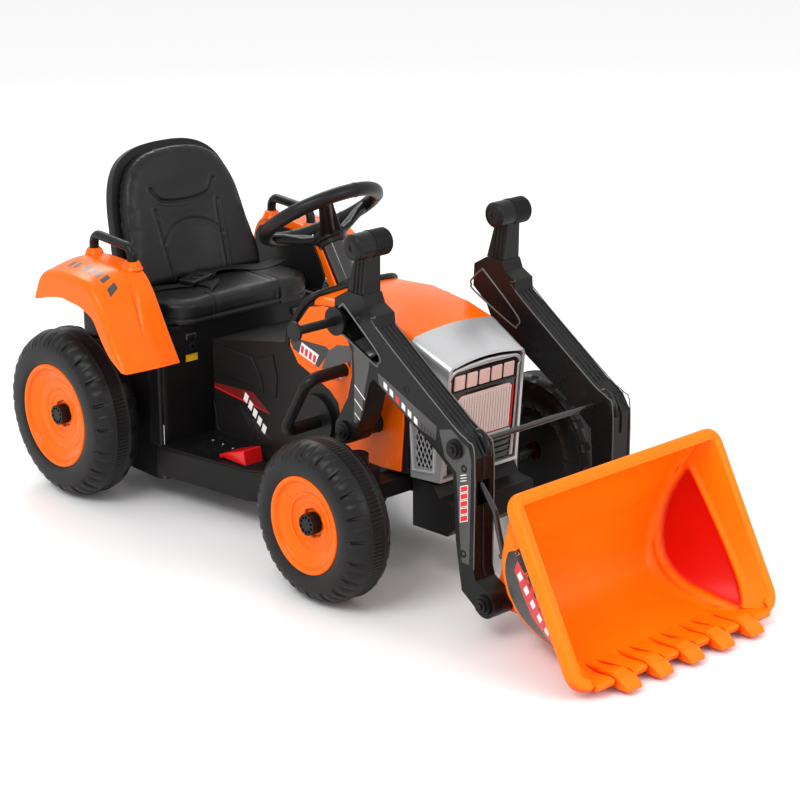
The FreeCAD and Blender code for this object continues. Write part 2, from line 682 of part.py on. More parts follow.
def steering_shaft():
    """Round bar with a cranked lower end; the end pin sits between the tie rod's ears."""
    crank_pin = SHAFT_END + ACROSS_SHAFT * S("crank")
    shape = rod(HUB - DOWN_SHAFT * 4, SHAFT_END, S("shaft_r"))
    shape = shape.fuse(rod(SHAFT_END, crank_pin, 6)).fuse(Part.makeSphere(S("shaft_r"), SHAFT_END))
    shape = shape.fuse(Part.makeSphere(6, crank_pin))
    return shape.fuse(rod(crank_pin, crank_pin + DOWN_SHAFT * 45, 5))


def steering_column():
    """Fixed tube round the shaft."""
    start = HUB + DOWN_SHAFT * 15
    end = HUB + DOWN_SHAFT * 120
    return rod(start, end, 22).cut(rod(start - DOWN_SHAFT, end + DOWN_SHAFT, S("shaft_r") + 1))


def column_collar():
    """Moulded boot where the column enters the engine cover."""
    start = HUB + DOWN_SHAFT * 88
    end = HUB + DOWN_SHAFT * 112
    cone = Part.makeCone(25, 33, (end - start).Length, start, DOWN_SHAFT)
    return cone.cut(rod(start - DOWN_SHAFT, end + DOWN_SHAFT, 22.2))


def knuckle(s):
    """Kingpin, stub axle and steering arm of one front wheel."""
    x, y = S("kingpin_x"), s * S("kingpin_y")
    axle_z = S("front_tyre_r")
    stub_end = s * (S("front_wheel_face_y") - 15)
    shape = rod(V(x, y, 118), V(x, y, 234), S("kingpin_r"))
    shape = shape.fuse(rod(V(x, y, 118), V(x, y, 175.6), 14))
    shape = shape.fuse(rod(V(x, y, axle_z), V(x, y + s * 35, axle_z), 12))
    shape = shape.fuse(rod(V(x, y, axle_z), V(x, stub_end, axle_z), S("stub_r")))
    pin_x, pin_y = S("tie_rod_x"), y - s * 6
    arm = prism_z([(x, y - 9), (x, y + 9), (pin_x, pin_y + 8), (pin_x - 6, pin_y), (pin_x, pin_y - 8)],
                  118, 126)
    shape = shape.fuse(arm)
    return shape.fuse(rod(V(pin_x, pin_y, 122), V(pin_x, pin_y, 142), 4)).removeSplitter()


def tie_rod():
    """Cross rod with an eye at each end and a pair of ears round the crank pin."""
    x, z = S("tie_rod_x"), S("tie_rod_z")
    pin_y = S("kingpin_y") - 6
    shape = block(x - 18, x + 18, -9.5, 9.5, z - 15, z + 14).cut(block(x - 30, x + 30, -6, 6, z - 11, z + 20))
    for s in SIDES.values():
        shape = shape.fuse(rod(V(x, s * 9, z), V(x, s * (pin_y - 10), z), 5))
        eye = rod(V(x, s * pin_y, z - 0.6), V(x, s * pin_y, z + 6), 14)
        shape = shape.fuse(eye).cut(rod(V(x, s * pin_y, z - 3), V(x, s * pin_y, z + 8), 10))
    return shape.removeSplitter()


feature("steering_wheel", steering_wheel())
feature("steering_shaft", steering_shaft())
feature("steering_column", steering_column())
feature("column_collar", column_collar())
for side_name, sign in SIDES.items():
    feature("knuckle_" + side_name, knuckle(sign))
feature("tie_rod", tie_rod())


# ---------------------------------------------------------------- loader

ARM_VIEW = [
    (659, 512), (657, 470), (690, 446), (702, 424), (702, 383), (691, 341),
    ("Sizes.lift_x - 20", "Sizes.lift_z + 12"),
    ("Sizes.lift_x - 14", "Sizes.lift_z - 12"), ("Sizes.lift_x + 14", "Sizes.lift_z - 12"),
    ("Sizes.lift_x + 39", "Sizes.lift_z + 18"), (729, 316), (748, 380), (758, 390), (914, 302), (953, 273),
    (957, 228), (961, 158), (976, 73), ("Sizes.pivot_x - 18", "Sizes.pivot_z - 14"),
    ("Sizes.pivot_x + 10", "Sizes.pivot_z - 14"), ("Sizes.pivot_x + 10", "Sizes.pivot_z + 20"),
    ("Sizes.arm_front_x + 6", 100), ("Sizes.arm_front_x", 118), ("Sizes.arm_front_x", 311), (985, 338),
    (948, 357), (764, 478), (762, 500), (738, 512), (730, 530), (690, 530),
]
ARM_CAVITY = [
    (664, 507), (663, 474), (693, 451), (708, 428), (708, 382), (697, 338), (690, 312), (716, 312), (724, 320),
    (743, 386), (757, 396), (916, 308), (958, 277), (963, 228), (967, 160), (975, 110), (998, 110), (998, 309),
    (982, 333), (946, 351), (758, 474), (756, 496), (734, 507),
]


def loader_arm(side):
    """Moulded arm: block, boom, drop leg and pivot leg as one hollow piece."""
    s = SIDES[side]
    body = doc.addObject("PartDesign::Body", "arm_" + side)
    view = new_sketch(body, "XZ_Plane", f"arm_{side}_view")
    outline(view, ARM_VIEW)
    extrude(body, "Pad", view, "Sizes.arm_w")
    eyes = new_sketch(body, "XZ_Plane", f"arm_{side}_eyes")
    disc(eyes, "Sizes.lift_x", "Sizes.lift_z", "Sizes.eye_r")
    disc(eyes, "Sizes.pivot_x", "Sizes.pivot_z", "Sizes.eye_r")
    extrude(body, "Pad", eyes, "Sizes.arm_w")
    inside = new_sketch(body, "XZ_Plane", f"arm_{side}_cavity")
    outline(inside, ARM_CAVITY)
    extrude(body, "Pocket", inside, "Sizes.arm_w - 2 * Sizes.skin")
    holes = new_sketch(body, "XZ_Plane", f"arm_{side}_holes")
    disc(holes, "Sizes.lift_x", "Sizes.lift_z", "Sizes.bolt_r + Sizes.bore_play")
    disc(holes, "Sizes.pivot_x", "Sizes.pivot_z", "Sizes.bolt_r")
    disc(holes, "Sizes.elbow_x", "Sizes.elbow_z", "Sizes.bar_r")
    extrude(body, "Pocket", holes, "Sizes.arm_w + 2")
    vents = new_sketch(body, "XZ_Plane", f"arm_{side}_screw_holes", f"{-s} * -1 * (Sizes.arm_w / 2 + 1)")
    for x, z in ((720, 486), (840, 392), (980, 290), (980, 140)):
        disc(vents, x, z, 3)
    extrude(body, "Pocket", vents, "Sizes.skin + 2", False, s > 0)
    if side == "right":
        slot = new_sketch(body, "XZ_Plane", "arm_right_slot", "Sizes.arm_w / 2 + 1")
        outline(slot, [("Sizes.peg_x - 9.5", "Sizes.peg_z - 2"), ("Sizes.peg_x - 3", "Sizes.peg_z - 9.5"),
                       ("Sizes.slot_end_x - 4", "Sizes.slot_end_z - 9.5"),
                       ("Sizes.slot_end_x + 10", "Sizes.slot_end_z - 7"),
                       ("Sizes.slot_end_x + 8", "Sizes.slot_end_z + 6"),
                       ("Sizes.peg_x + 25", "Sizes.peg_z + 24"), ("Sizes.peg_x + 14", "Sizes.peg_z + 28"),
                       ("Sizes.peg_x - 9.5", "Sizes.peg_z + 5")])
        extrude(body, "Pocket", slot, "Sizes.skin + 2", False)
        mouth = new_sketch(body, "YZ_Plane", "arm_right_rod_mouth", "Sizes.arm_front_x + 1")
        outline(mouth, [("-1 * Sizes.rod_slot_half_w", "Sizes.rod_slot_low"),
                        ("Sizes.rod_slot_half_w", "Sizes.rod_slot_low"),
                        ("Sizes.rod_slot_half_w", "Sizes.rod_slot_high"),
                        ("-1 * Sizes.rod_slot_half_w", "Sizes.rod_slot_high")])
        extrude(body, "Pocket", mouth, 8, False)
    return keep(body, "arm_" + side, 0, f"{s} * Sizes.arm_y")


def handle(s):
    """T-handle: tapered post with a round two-piece grip across its top."""
    y = s * S("arm_y")
    x, z, r = S("handle_x"), S("handle_z"), S("handle_r")
    foot = Part.makePolygon([V(688, y - 19, 530.2), V(730, y - 19, 530.2), V(730, y + 19, 530.2),
                             V(688, y + 19, 530.2), V(688, y - 19, 530.2)])
    head = Part.makePolygon([V(x - 16, y - 14, z - 10), V(x + 14, y - 14, z - 10), V(x + 14, y + 14, z - 10),
                             V(x - 16, y + 14, z - 10), V(x - 16, y - 14, z - 10)])
    post = Part.makeLoft([foot, head], True, True)
    grip = rod(V(x, y - S("handle_len") / 2, z), V(x, y + S("handle_len") / 2, z), r)
    grip = round_edges(grip, 4, lambda e: e.Closed)
    return post.fuse(grip).removeSplitter()


def cross_rod(label, radius, half_length, x, z):
    """A plain round bar across the machine, made from a cylinder primitive."""
    bar = doc.addObject("Part::Cylinder", label)
    bar.setExpression("Radius", radius)
    bar.setExpression("Height", f"2 * ({half_length})")
    bar.Placement.Rotation = FreeCAD.Rotation(V(1, 0, 0), -90)
    return keep(bar, label, x, f"-1 * ({half_length})", z)


def bolt_with_cap(x, z, y_in, y_out, radius):
    """Through bolt with a round stepped cap outside the arm."""
    step = 1 if y_out > 0 else -1
    shape = rod(V(x, y_in, z), V(x, y_out + step, z), radius)
    for start, end, r in ((0.3, 6, 17), (6, 11, 12), (11, 14, 6)):
        shape = shape.fuse(rod(V(x, y_out + step * start, z), V(x, y_out + step * end, z), r))
    return shape.removeSplitter()


def loader_bolts():
    """Bucket pivot bolts and the caps on the cross bar's ends."""
    arm_in, arm_out = S("arm_y") - S("arm_w") / 2, S("arm_y") + S("arm_w") / 2
    shapes = []
    for s in SIDES.values():
        shapes.append(bolt_with_cap(S("pivot_x"), S("pivot_z"), s * (arm_in - 20), s * arm_out, S("bolt_r")))
        cap = bolt_with_cap(S("elbow_x"), S("elbow_z"), s * (arm_out + 0.1), s * arm_out, S("bar_r"))
        shapes.append(cap)
    return Part.makeCompound(shapes)


def chassis_bolts():
    """Bolts that the arms swing on, and the rear axle's nuts."""
    arm_out = S("arm_y") + S("arm_w") / 2
    shapes = []
    for s in SIDES.values():
        shapes.append(bolt_with_cap(S("lift_x"), S("lift_z"), s * 96, s * arm_out, S("bolt_r")))
        y = s * (S("rear_wheel_face_y") - 29)
        z = S("rear_tyre_r")
        nut = rod(V(0, y, z), V(0, y + s * 8, z), 10)
        shapes.append(nut.cut(rod(V(0, y - s, z), V(0, y + s * 9, z), S("axle_r"))))
    return Part.makeCompound(shapes)


def tilt_peg():
    """Peg that slides along the right arm's slot: shaft, end disc and the washer that covers the slot."""
    x, z = S("peg_x"), S("peg_z")
    face = -(S("arm_y") + S("arm_w") / 2)
    shape = rod(V(x, face + 3.5, z), V(x, -S("peg_end_y"), z), S("peg_r"))
    shape = shape.fuse(rod(V(x, -S("peg_end_y") + 5, z), V(x, -S("peg_end_y"), z), 17))
    shape = shape.fuse(rod(V(x, face - 6, z), V(x, face - 0.3, z), 25))
    shape = shape.fuse(rod(V(x + 5.5, face + 1, z + 3.5), V(x + 5.5, face + 9, z + 3.5), 3))
    shape = shape.fuse(rod(V(x + 12, face + 5, z + 6), V(x + 12, face + 9, z + 6), 8))
    return shape.removeSplitter()


ROD_ROUTE = [(968, 295.2), (1029, 226), (1050, 156)]


def link_rod():
    """Bent wire from inside the right arm to the bucket's back."""
    y = -S("arm_y")
    points = [V(x, y, z) for x, z in ROD_ROUTE]
    wire = bent_tube(points + [V(1050, y, 150)], S("rod_r"), 8)
    hook = rod(V(1050, y - 6, 152), V(1050, y + 14, 152), S("rod_r"))
    return wire.fuse(hook).removeSplitter()


for side_name, sign in SIDES.items():
    loader_arm(side_name)
    feature("handle_" + side_name, handle(sign))
cross_rod("crossbar", "Sizes.bar_r", "Sizes.arm_y + Sizes.arm_w / 2", "Sizes.elbow_x", "Sizes.elbow_z")
feature("loader_bolts", loader_bolts())
feature("chassis_bolts", chassis_bolts())
feature("tilt_peg", tilt_peg())
feature("link_rod", link_rod())


# ---------------------------------------------------------------- bucket

# The bucket's back and floor: distance down the mouth from its top edge, depth behind the mouth and
# half width there.
BUCKET_BACK = [(-2, 24, 232), (14, 50, 226), (36, 76, 220), (62, 106, 212), (95, 138, 203), (130, 162, 192),
               (165, 176, 181), (195, 176, 173), (225, 162, 169), (255, 135, 169), (285, 92, 177), (315, 36, 200)]


def mouth_frame():
    """Top edge of the mouth, the unit vector down it and the unit vector out of it."""
    top = V(S("lip_top_x"), 0, S("lip_top_z"))
    down = (V(S("lip_x"), 0, S("lip_z")) - top).normalize()
    return top, down, V(-down.z, 0, down.x)


def bucket_core(inward, reach):
    """Solid behind the mouth, with tapering cheeks, every wall moved inwards; reach carries it out."""
    top, down, out = mouth_frame()
    length = math.hypot(S("lip_x") - S("lip_top_x"), S("lip_z") - S("lip_top_z"))
    half = S("bucket_body_w")
    rows = [(0, 0, half)] + BUCKET_BACK + [(length, 0, half)]
    plane = inset([(a, b) for a, b, w in rows], inward)
    rows = [(a, b, w - inward) for (a, b), (_, _, w) in zip(plane, rows)]
    rows[0] = (rows[0][0], -reach, half - inward)
    rows[-1] = (rows[-1][0], -reach, half - inward)
    edge = {s: [top + down * a - out * b + V(0, s * w, 0) for a, b, w in rows] for s in (-1, 1)}
    count = len(rows)
    faces = []
    for i in range(count - 1):
        corners = [edge[1][i], edge[1][i + 1], edge[-1][i + 1], edge[-1][i]]
        faces.append(Part.Face(Part.makePolygon(corners + corners[:1])))
    mouth = [edge[1][-1], edge[1][0], edge[-1][0], edge[-1][-1]]
    faces.append(Part.Face(Part.makePolygon(mouth + mouth[:1])))
    for line in edge.values():
        middle = top + down * (length / 2) + out * reach + V(0, line[0].y, 0)
        for i in range(count - 1):
            corners = [line[i], line[i + 1], middle]
            faces.append(Part.Face(Part.makePolygon(corners + corners[:1])))
        corners = [line[-1], line[0], middle]
        if (corners[1] - corners[0]).cross(corners[2] - corners[0]).Length > 1e-3:
            faces.append(Part.Face(Part.makePolygon(corners + corners[:1])))
    solid = Part.makeSolid(Part.makeShell(faces))
    if solid.Volume < 0:
        solid.reverse()
    return solid


def bucket():
    """Open bucket: curved back and floor, tapering cheeks, a rolled rim, five teeth and the rear ears."""
    w, wall = S("bucket_half_w"), S("bucket_wall")
    core = bucket_core(0, 0)
    shell = core.cut(bucket_core(wall, 30))
    top, down, out = mouth_frame()
    length = math.hypot(S("lip_x") - S("lip_top_x"), S("lip_z") - S("lip_top_z"))
    rim = block(-9, 9, -w, w, 0, length)
    rim = round_edges(rim, 36, lambda e: e.BoundBox.XLength > 17 and e.BoundBox.YLength < 1e-6)
    rim = rim.cut(block(-10, 10, -w + 21, w - 21, 20, length - 20))
    rim.rotate(V(0, 0, 0), V(0, 1, 0), math.degrees(math.atan2(-down.x, -down.z)))
    rim.translate(V(S("lip_x"), 0, S("lip_z")) - out * 9)
    rim = rim.cut(block(900, 1400, -w - 1, w + 1, -100, S("tip_z")))
    shell = shell.fuse(rim)
    for i in range(-2, 3):
        y = i * S("tooth_pitch")
        half = S("tooth_w") / 2
        tooth = prism_y([(1232, 20), (1236, 30), (S("lip_x"), 31), (S("tip_x"), S("tip_z") + 10),
                         (S("tip_x"), S("tip_z")), (S("lip_x") - 20, S("tip_z"))], y - half, y + half)
        shell = shell.fuse(tooth)
    ears_in = S("arm_y") - S("arm_w") / 2 - 12
    for s in SIDES.values():
        view = [(S("pivot_x") - 8, S("pivot_z") - 20), (1120, 44), (1090, 170), (1050, 176),
                (S("pivot_x") + 6, 160), (S("pivot_x") - 18, S("pivot_z") + 8)]
        ear = prism_y(view, s * ears_in, s * (ears_in + 11.4)).cut(core)
        ear = ear.cut(rod(V(S("pivot_x"), s * 100, S("pivot_z")), V(S("pivot_x"), s * 180, S("pivot_z")),
                          S("bolt_r") + S("bore_play")))
        shell = shell.fuse(ear)
    return shell.removeSplitter()


feature("bucket", bucket())


# ---------------------------------------------------------------- drive, controls and small parts

def gearbox(s):
    """Reduction gearbox with its motor, between the seat box and the rear wheel."""
    y0, y1 = s * (S("box_half_w") + 0.3), s * (S("rear_wheel_face_y") - S("rear_wheel_w") - 3)
    low, high = min(y0, y1), max(y0, y1)
    z = S("rear_tyre_r")
    case = round_edges(block(-32, 84, low, high, z - 34, z + 34), 12, lambda e: e.BoundBox.YLength > 20)
    motor = rod(V(52, s * (S("box_half_w") + 1), z), V(52, s * (S("box_half_w") - 62), z), 18)
    shape = case.fuse(motor)
    return shape.cut(rod(V(0, low - 1, z), V(0, high + 1, z), S("axle_r") + S("bore_play")))


def box_part(label, length, width, height, x, y, z):
    """A box primitive with bound sizes."""
    box = doc.addObject("Part::Box", label)
    for name, term in (("Length", length), ("Width", width), ("Height", height)):
        if isinstance(term, str):
            box.setExpression(name, term)
        else:
            setattr(box, name, term)
    return keep(box, label, x, y, z)


def drive_pedal():
    """Foot pedal: a wedge pad on a hinge barrel at its rear edge."""
    wedge = prism_y([(300, 121), (312, 132), (366, 150), (372, 122)], -166, -122)
    wedge = round_edges(wedge, 3, lambda e: e.BoundBox.ZMax > 131)
    return wedge.fuse(rod(V(304, -170, 124), V(304, -118, 124), 4)).removeSplitter()


def charging_socket():
    """Round charging jack in a square bezel on the seat box's front face."""
    x, y, z = S("box_front_x"), S("jack_y"), S("jack_z")
    bezel = block(x + 0.2, x + 4, y - 15, y + 15, z - 13, z + 13)
    barrel = rod(V(x - 4.2, y, z), V(x + 6, y, z), S("jack_r"))
    shape = bezel.fuse(barrel)
    return shape.cut(rod(V(x - 2, y, z), V(x + 7, y, z), S("jack_bore_r"))).removeSplitter()


def dash_point(along, up):
    """A point on the sloping dash face, by distance along the slope and above it."""
    (x0, z0), (x1, z1) = side_outline()[3:5]
    start, end = V(x0, 0, z0), V(x1, 0, z1)
    run = (end - start).normalize()
    normal = V(-run.z, 0, run.x)
    return start + run * along + normal * up


def dash_panel():
    """Plate on the dash with an opening for the power button and one for the rocker."""
    normal = dash_point(0, 1) - dash_point(0, 0)
    corners = [dash_point(18, 0.2), dash_point(62, 0.2)]
    wire = Part.makePolygon([V(corners[0].x, -80, corners[0].z), V(corners[1].x, -80, corners[1].z),
                             V(corners[1].x, -34, corners[1].z), V(corners[0].x, -34, corners[0].z),
                             V(corners[0].x, -80, corners[0].z)])
    plate = Part.Face(wire).extrude(normal * 3)
    button_hole = rod(V(0, -68, 0) + dash_point(40, -1), V(0, -68, 0) + dash_point(40, 6), 8.4)
    rocker = Part.makePolygon([V(p.x, y, p.z) for p, y in (
        (dash_point(28, 0), -54.4), (dash_point(52, 0), -54.4), (dash_point(52, 0), -41.6),
        (dash_point(28, 0), -41.6), (dash_point(28, 0), -54.4))])
    pin_hole = rod(dash_point(40, 1.6) + V(0, -58, 0), dash_point(40, 1.6) + V(0, -38, 0), 1.25)
    return plate.cut(button_hole).cut(Part.Face(rocker).extrude(normal * 9)).cut(pin_hole)


def direction_switch():
    """Forward and reverse rocker on a cross pin."""
    corners = [dash_point(28.6, 3.2), dash_point(34, 2.2), dash_point(37, 0.5), dash_point(43, 0.5),
               dash_point(46, 2.2), dash_point(51.4, 3.2), dash_point(51.4, 6), dash_point(40, 5.2),
               dash_point(28.6, 6)]
    wire = Part.makePolygon([V(p.x, -54, p.z) for p in corners + corners[:1]])
    rocker = Part.Face(wire).extrude(V(0, 12, 0))
    return rocker.fuse(rod(dash_point(40, 1.6) + V(0, -57, 0), dash_point(40, 1.6) + V(0, -39, 0), 1.2))


def power_button():
    centre = V(0, -68, 0)
    return rod(centre + dash_point(40, 2.6), centre + dash_point(40, 7), 8).fuse(
        rod(centre + dash_point(40, 2.2), centre + dash_point(40, 4), 5))


for side_name, sign in SIDES.items():
    feature("gearbox_" + side_name, gearbox(sign))
box_part("battery", 95, 151, 96, -60, "-75.5", "Sizes.box_floor_z + 150")
feature("drive_pedal", drive_pedal())
feature("charging_socket", charging_socket())
feature("dash_panel", dash_panel())
feature("direction_switch", direction_switch())
feature("power_button", power_button())


# ---------------------------------------------------------------- checks and files

doc.recompute()
for obj in doc.Objects:
    if "Invalid" in obj.State or "Error" in obj.State:
        raise RuntimeError(f"{obj.Name} ({obj.Label}): {obj.State}")
for part in sub_parts:
    if part.Shape.isNull() or not part.Shape.isValid() or not part.Shape.Solids:
        raise RuntimeError(f"{part.Label} has no valid shape")
    if any(solid.Volume <= 0 for solid in part.Shape.Solids):
        raise RuntimeError(f"{part.Label} has an inside-out solid")

os.makedirs("parts", exist_ok=True)
for part in sub_parts:
    part.Shape.exportStep(f"parts/{part.Label}.step")
    print(f"{part.Label:20s} solids {len(part.Shape.Solids)}  volume {part.Shape.Volume / 1000:9.1f} cm3")
print(len(sub_parts), "sub-parts")
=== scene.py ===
"""Looks of the ride-on loader tractor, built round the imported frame."""
import json
import math
from collections import namedtuple

import bmesh
import bpy
import numpy as np
from mathutils import Matrix, Vector
from mathutils.bvhtree import BVHTree


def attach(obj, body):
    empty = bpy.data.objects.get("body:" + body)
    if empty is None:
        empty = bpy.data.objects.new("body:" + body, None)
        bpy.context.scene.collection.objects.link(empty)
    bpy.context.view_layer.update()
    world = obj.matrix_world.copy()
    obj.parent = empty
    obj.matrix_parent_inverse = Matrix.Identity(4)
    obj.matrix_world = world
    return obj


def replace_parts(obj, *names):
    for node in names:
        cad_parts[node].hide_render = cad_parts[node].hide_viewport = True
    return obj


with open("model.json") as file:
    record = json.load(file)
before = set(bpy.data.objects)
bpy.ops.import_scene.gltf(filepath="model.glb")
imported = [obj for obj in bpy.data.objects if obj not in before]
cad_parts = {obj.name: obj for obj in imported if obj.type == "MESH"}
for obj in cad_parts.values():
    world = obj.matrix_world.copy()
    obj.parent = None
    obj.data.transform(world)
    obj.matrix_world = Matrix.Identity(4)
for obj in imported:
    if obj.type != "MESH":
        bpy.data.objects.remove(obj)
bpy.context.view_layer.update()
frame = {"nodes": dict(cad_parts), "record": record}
NODES = frame["nodes"]
AXLE_X = -0.585  # the rear axle in the frame, in metres
SIDES = {"right": -1, "left": 1}
ARM_Y = 165  # middle of each loader arm, in millimetres


def at(x, y, z):
    """A point given in millimetres ahead of the rear axle, to the left and up, in metres."""
    return Vector((x / 1000 + AXLE_X, y / 1000, z / 1000))


def linked(obj):
    """The object, put into the scene."""
    bpy.context.scene.collection.objects.link(obj)
    return obj


def turned_to(obj, direction):
    """Turns a camera or lamp to look along direction."""
    obj.rotation_mode = "QUATERNION"
    obj.rotation_quaternion = direction.to_track_quat("-Z", "Y")


# ---------------------------------------------------------------- camera, floor and light

def camera():
    """The photo's camera."""
    data = bpy.data.cameras.new("camera")
    data.lens = 98.84
    data.sensor_width = 36
    data.clip_end = 100
    cam = linked(bpy.data.objects.new("camera", data))
    azimuth, elevation, roll = math.radians(47.84), math.radians(18.80), math.radians(-0.12)
    back = Vector((math.sin(azimuth) * math.cos(elevation), -math.cos(azimuth) * math.cos(elevation),
                   math.sin(elevation)))
    cam.location = (2.812, -2.517, 1.551)
    turned_to(cam, -back)
    cam.rotation_quaternion = cam.rotation_quaternion @ Matrix.Rotation(roll, 3, "Z").to_quaternion()
    bpy.context.scene.camera = cam


LIGHTS = (  # name, place, aim, width in metres, power in watts
    ("key", (0.6, -2.6, 3.0), (0.0, 0.0, 0.3), 2.2, 62),
    ("front", (3.4, 0.6, 2.2), (0.3, 0.0, 0.3), 1.8, 34),
    ("rim", (-2.6, 1.2, 2.6), (-0.2, 0.0, 0.4), 1.6, 30),
)
FLOOR_REACH = 30


def studio():
    """White surroundings, three area lights and a pale floor."""
    world = bpy.data.worlds.new("studio")
    world.use_nodes = True
    set_inputs(world.node_tree.nodes["Background"], {"Color": (1, 1, 1, 1), "Strength": 1.0})
    scene = bpy.context.scene
    scene.world = world
    scene.view_settings.view_transform = "Standard"
    scene.view_settings.gamma = 0.92
    for name, place, aim, width, power in LIGHTS:
        data = bpy.data.lights.new(name, "AREA")
        data.shape = "RECTANGLE"
        data.size = width
        data.size_y = width * 0.6
        data.energy = power
        lamp = linked(bpy.data.objects.new(name, data))
        lamp.location = place
        turned_to(lamp, Vector(aim) - Vector(place))
    corners = [(FLOOR_REACH * x, FLOOR_REACH * y, 0) for x, y in ((-1, -1), (1, -1), (1, 1), (-1, 1))]
    floor = object_from("floor", corners, [(0, 1, 2, 3)])
    mat = bpy.data.materials.new("floor")
    mat.use_nodes = True
    set_inputs(mat.node_tree.nodes["Principled BSDF"],
               {"Base Color": (0.93, 0.93, 0.93, 1), "Roughness": 0.6})
    floor.data.materials.append(mat)


# ---------------------------------------------------------------- materials

ROUGH_SWING = 0.06  # how far smudges move the roughness either way
RECESS_SHADE = (0.66, 0.006, 0.0005)  # painted shade: a darker red laid over the bucket's pressed recess


def set_inputs(node, values):
    for name, value in values.items():
        node.inputs[name].default_value = value


def node_of(tree, kind, inputs=None, **values):
    node = tree.nodes.new(kind)
    for name, value in values.items():
        setattr(node, name, value)
    set_inputs(node, inputs or {})
    return node


def plastic(name, color, rough, grain, depth, tone=0.12, coat=0.0, metallic=0.0, cells=False,
            specular=0.5, hollow=None):
    """Moulded plastic, rubber, paint or leather: tone drift, smudges and a fine grain.

    tone is the share the colour drifts by, cells gives a leathery grain, and the last option is a
    painted shade:
    the colour mixed in where ambient occlusion finds the piece shading itself, next to a darker red
    painted shade where the mesh's recess attribute is set.
    """
    mat = bpy.data.materials.new(name)
    mat.use_nodes = True
    tree = mat.node_tree
    shader = tree.nodes["Principled BSDF"]
    link = tree.links.new
    coords = node_of(tree, "ShaderNodeTexCoord").outputs["Object"]
    drift = node_of(tree, "ShaderNodeTexNoise", {"Scale": 9, "Detail": 4})
    link(coords, drift.inputs["Vector"])
    ramp = node_of(tree, "ShaderNodeValToRGB")
    low, high = ramp.color_ramp.elements
    low.position, high.position = 0.3, 0.7
    low.color = tuple(c * (1 - tone) for c in color) + (1,)
    high.color = tuple(min(1, c * (1 + tone)) for c in color) + (1,)
    link(drift.outputs["Fac"], ramp.inputs["Fac"])
    out = ramp.outputs["Color"]
    # Painted shade: the colour darkens to the given shade colour where ambient occlusion finds the
    # piece shading itself, and to a darker red where the mesh's recess attribute marks the pressed
    # recess.
    if hollow:
        shade = node_of(tree, "ShaderNodeAmbientOcclusion", {"Distance": 0.34}, samples=8)
        deep = node_of(tree, "ShaderNodeMapRange", {"From Min": 0.5, "From Max": 0.14})
        link(shade.outputs["AO"], deep.inputs["Value"])
        recess = node_of(tree, "ShaderNodeAttribute", attribute_name="recess")
        for share, tint in ((deep.outputs["Result"], hollow), (recess.outputs["Fac"], RECESS_SHADE)):
            mix = node_of(tree, "ShaderNodeMix", {"B": tint + (1,)}, data_type="RGBA")
            link(share, mix.inputs["Factor"])
            link(out, mix.inputs["A"])
            out = mix.outputs["Result"]
    link(out, shader.inputs["Base Color"])
    set_inputs(shader, {"Metallic": metallic, "Coat Weight": coat, "Coat Roughness": 0.08,
                        "Specular IOR Level": specular})
    roughness = {"To Min": max(0.02, rough - ROUGH_SWING), "To Max": rough + ROUGH_SWING}
    swing = node_of(tree, "ShaderNodeMapRange", roughness)
    smudge = node_of(tree, "ShaderNodeTexNoise", {"Scale": 34, "Detail": 3})
    link(coords, smudge.inputs["Vector"])
    link(smudge.outputs["Fac"], swing.inputs["Value"])
    link(swing.outputs["Result"], shader.inputs["Roughness"])
    if cells:
        fine = node_of(tree, "ShaderNodeTexVoronoi", {"Scale": grain}, feature="DISTANCE_TO_EDGE")
        height = fine.outputs["Distance"]
    else:
        fine = node_of(tree, "ShaderNodeTexNoise", {"Scale": grain, "Detail": 2})
        height = fine.outputs["Fac"]
    link(coords, fine.inputs["Vector"])
    relief = node_of(tree, "ShaderNodeBump", {"Distance": depth, "Strength": 1})
    link(height, relief.inputs["Height"])
    link(relief.outputs["Normal"], shader.inputs["Normal"])
    return mat


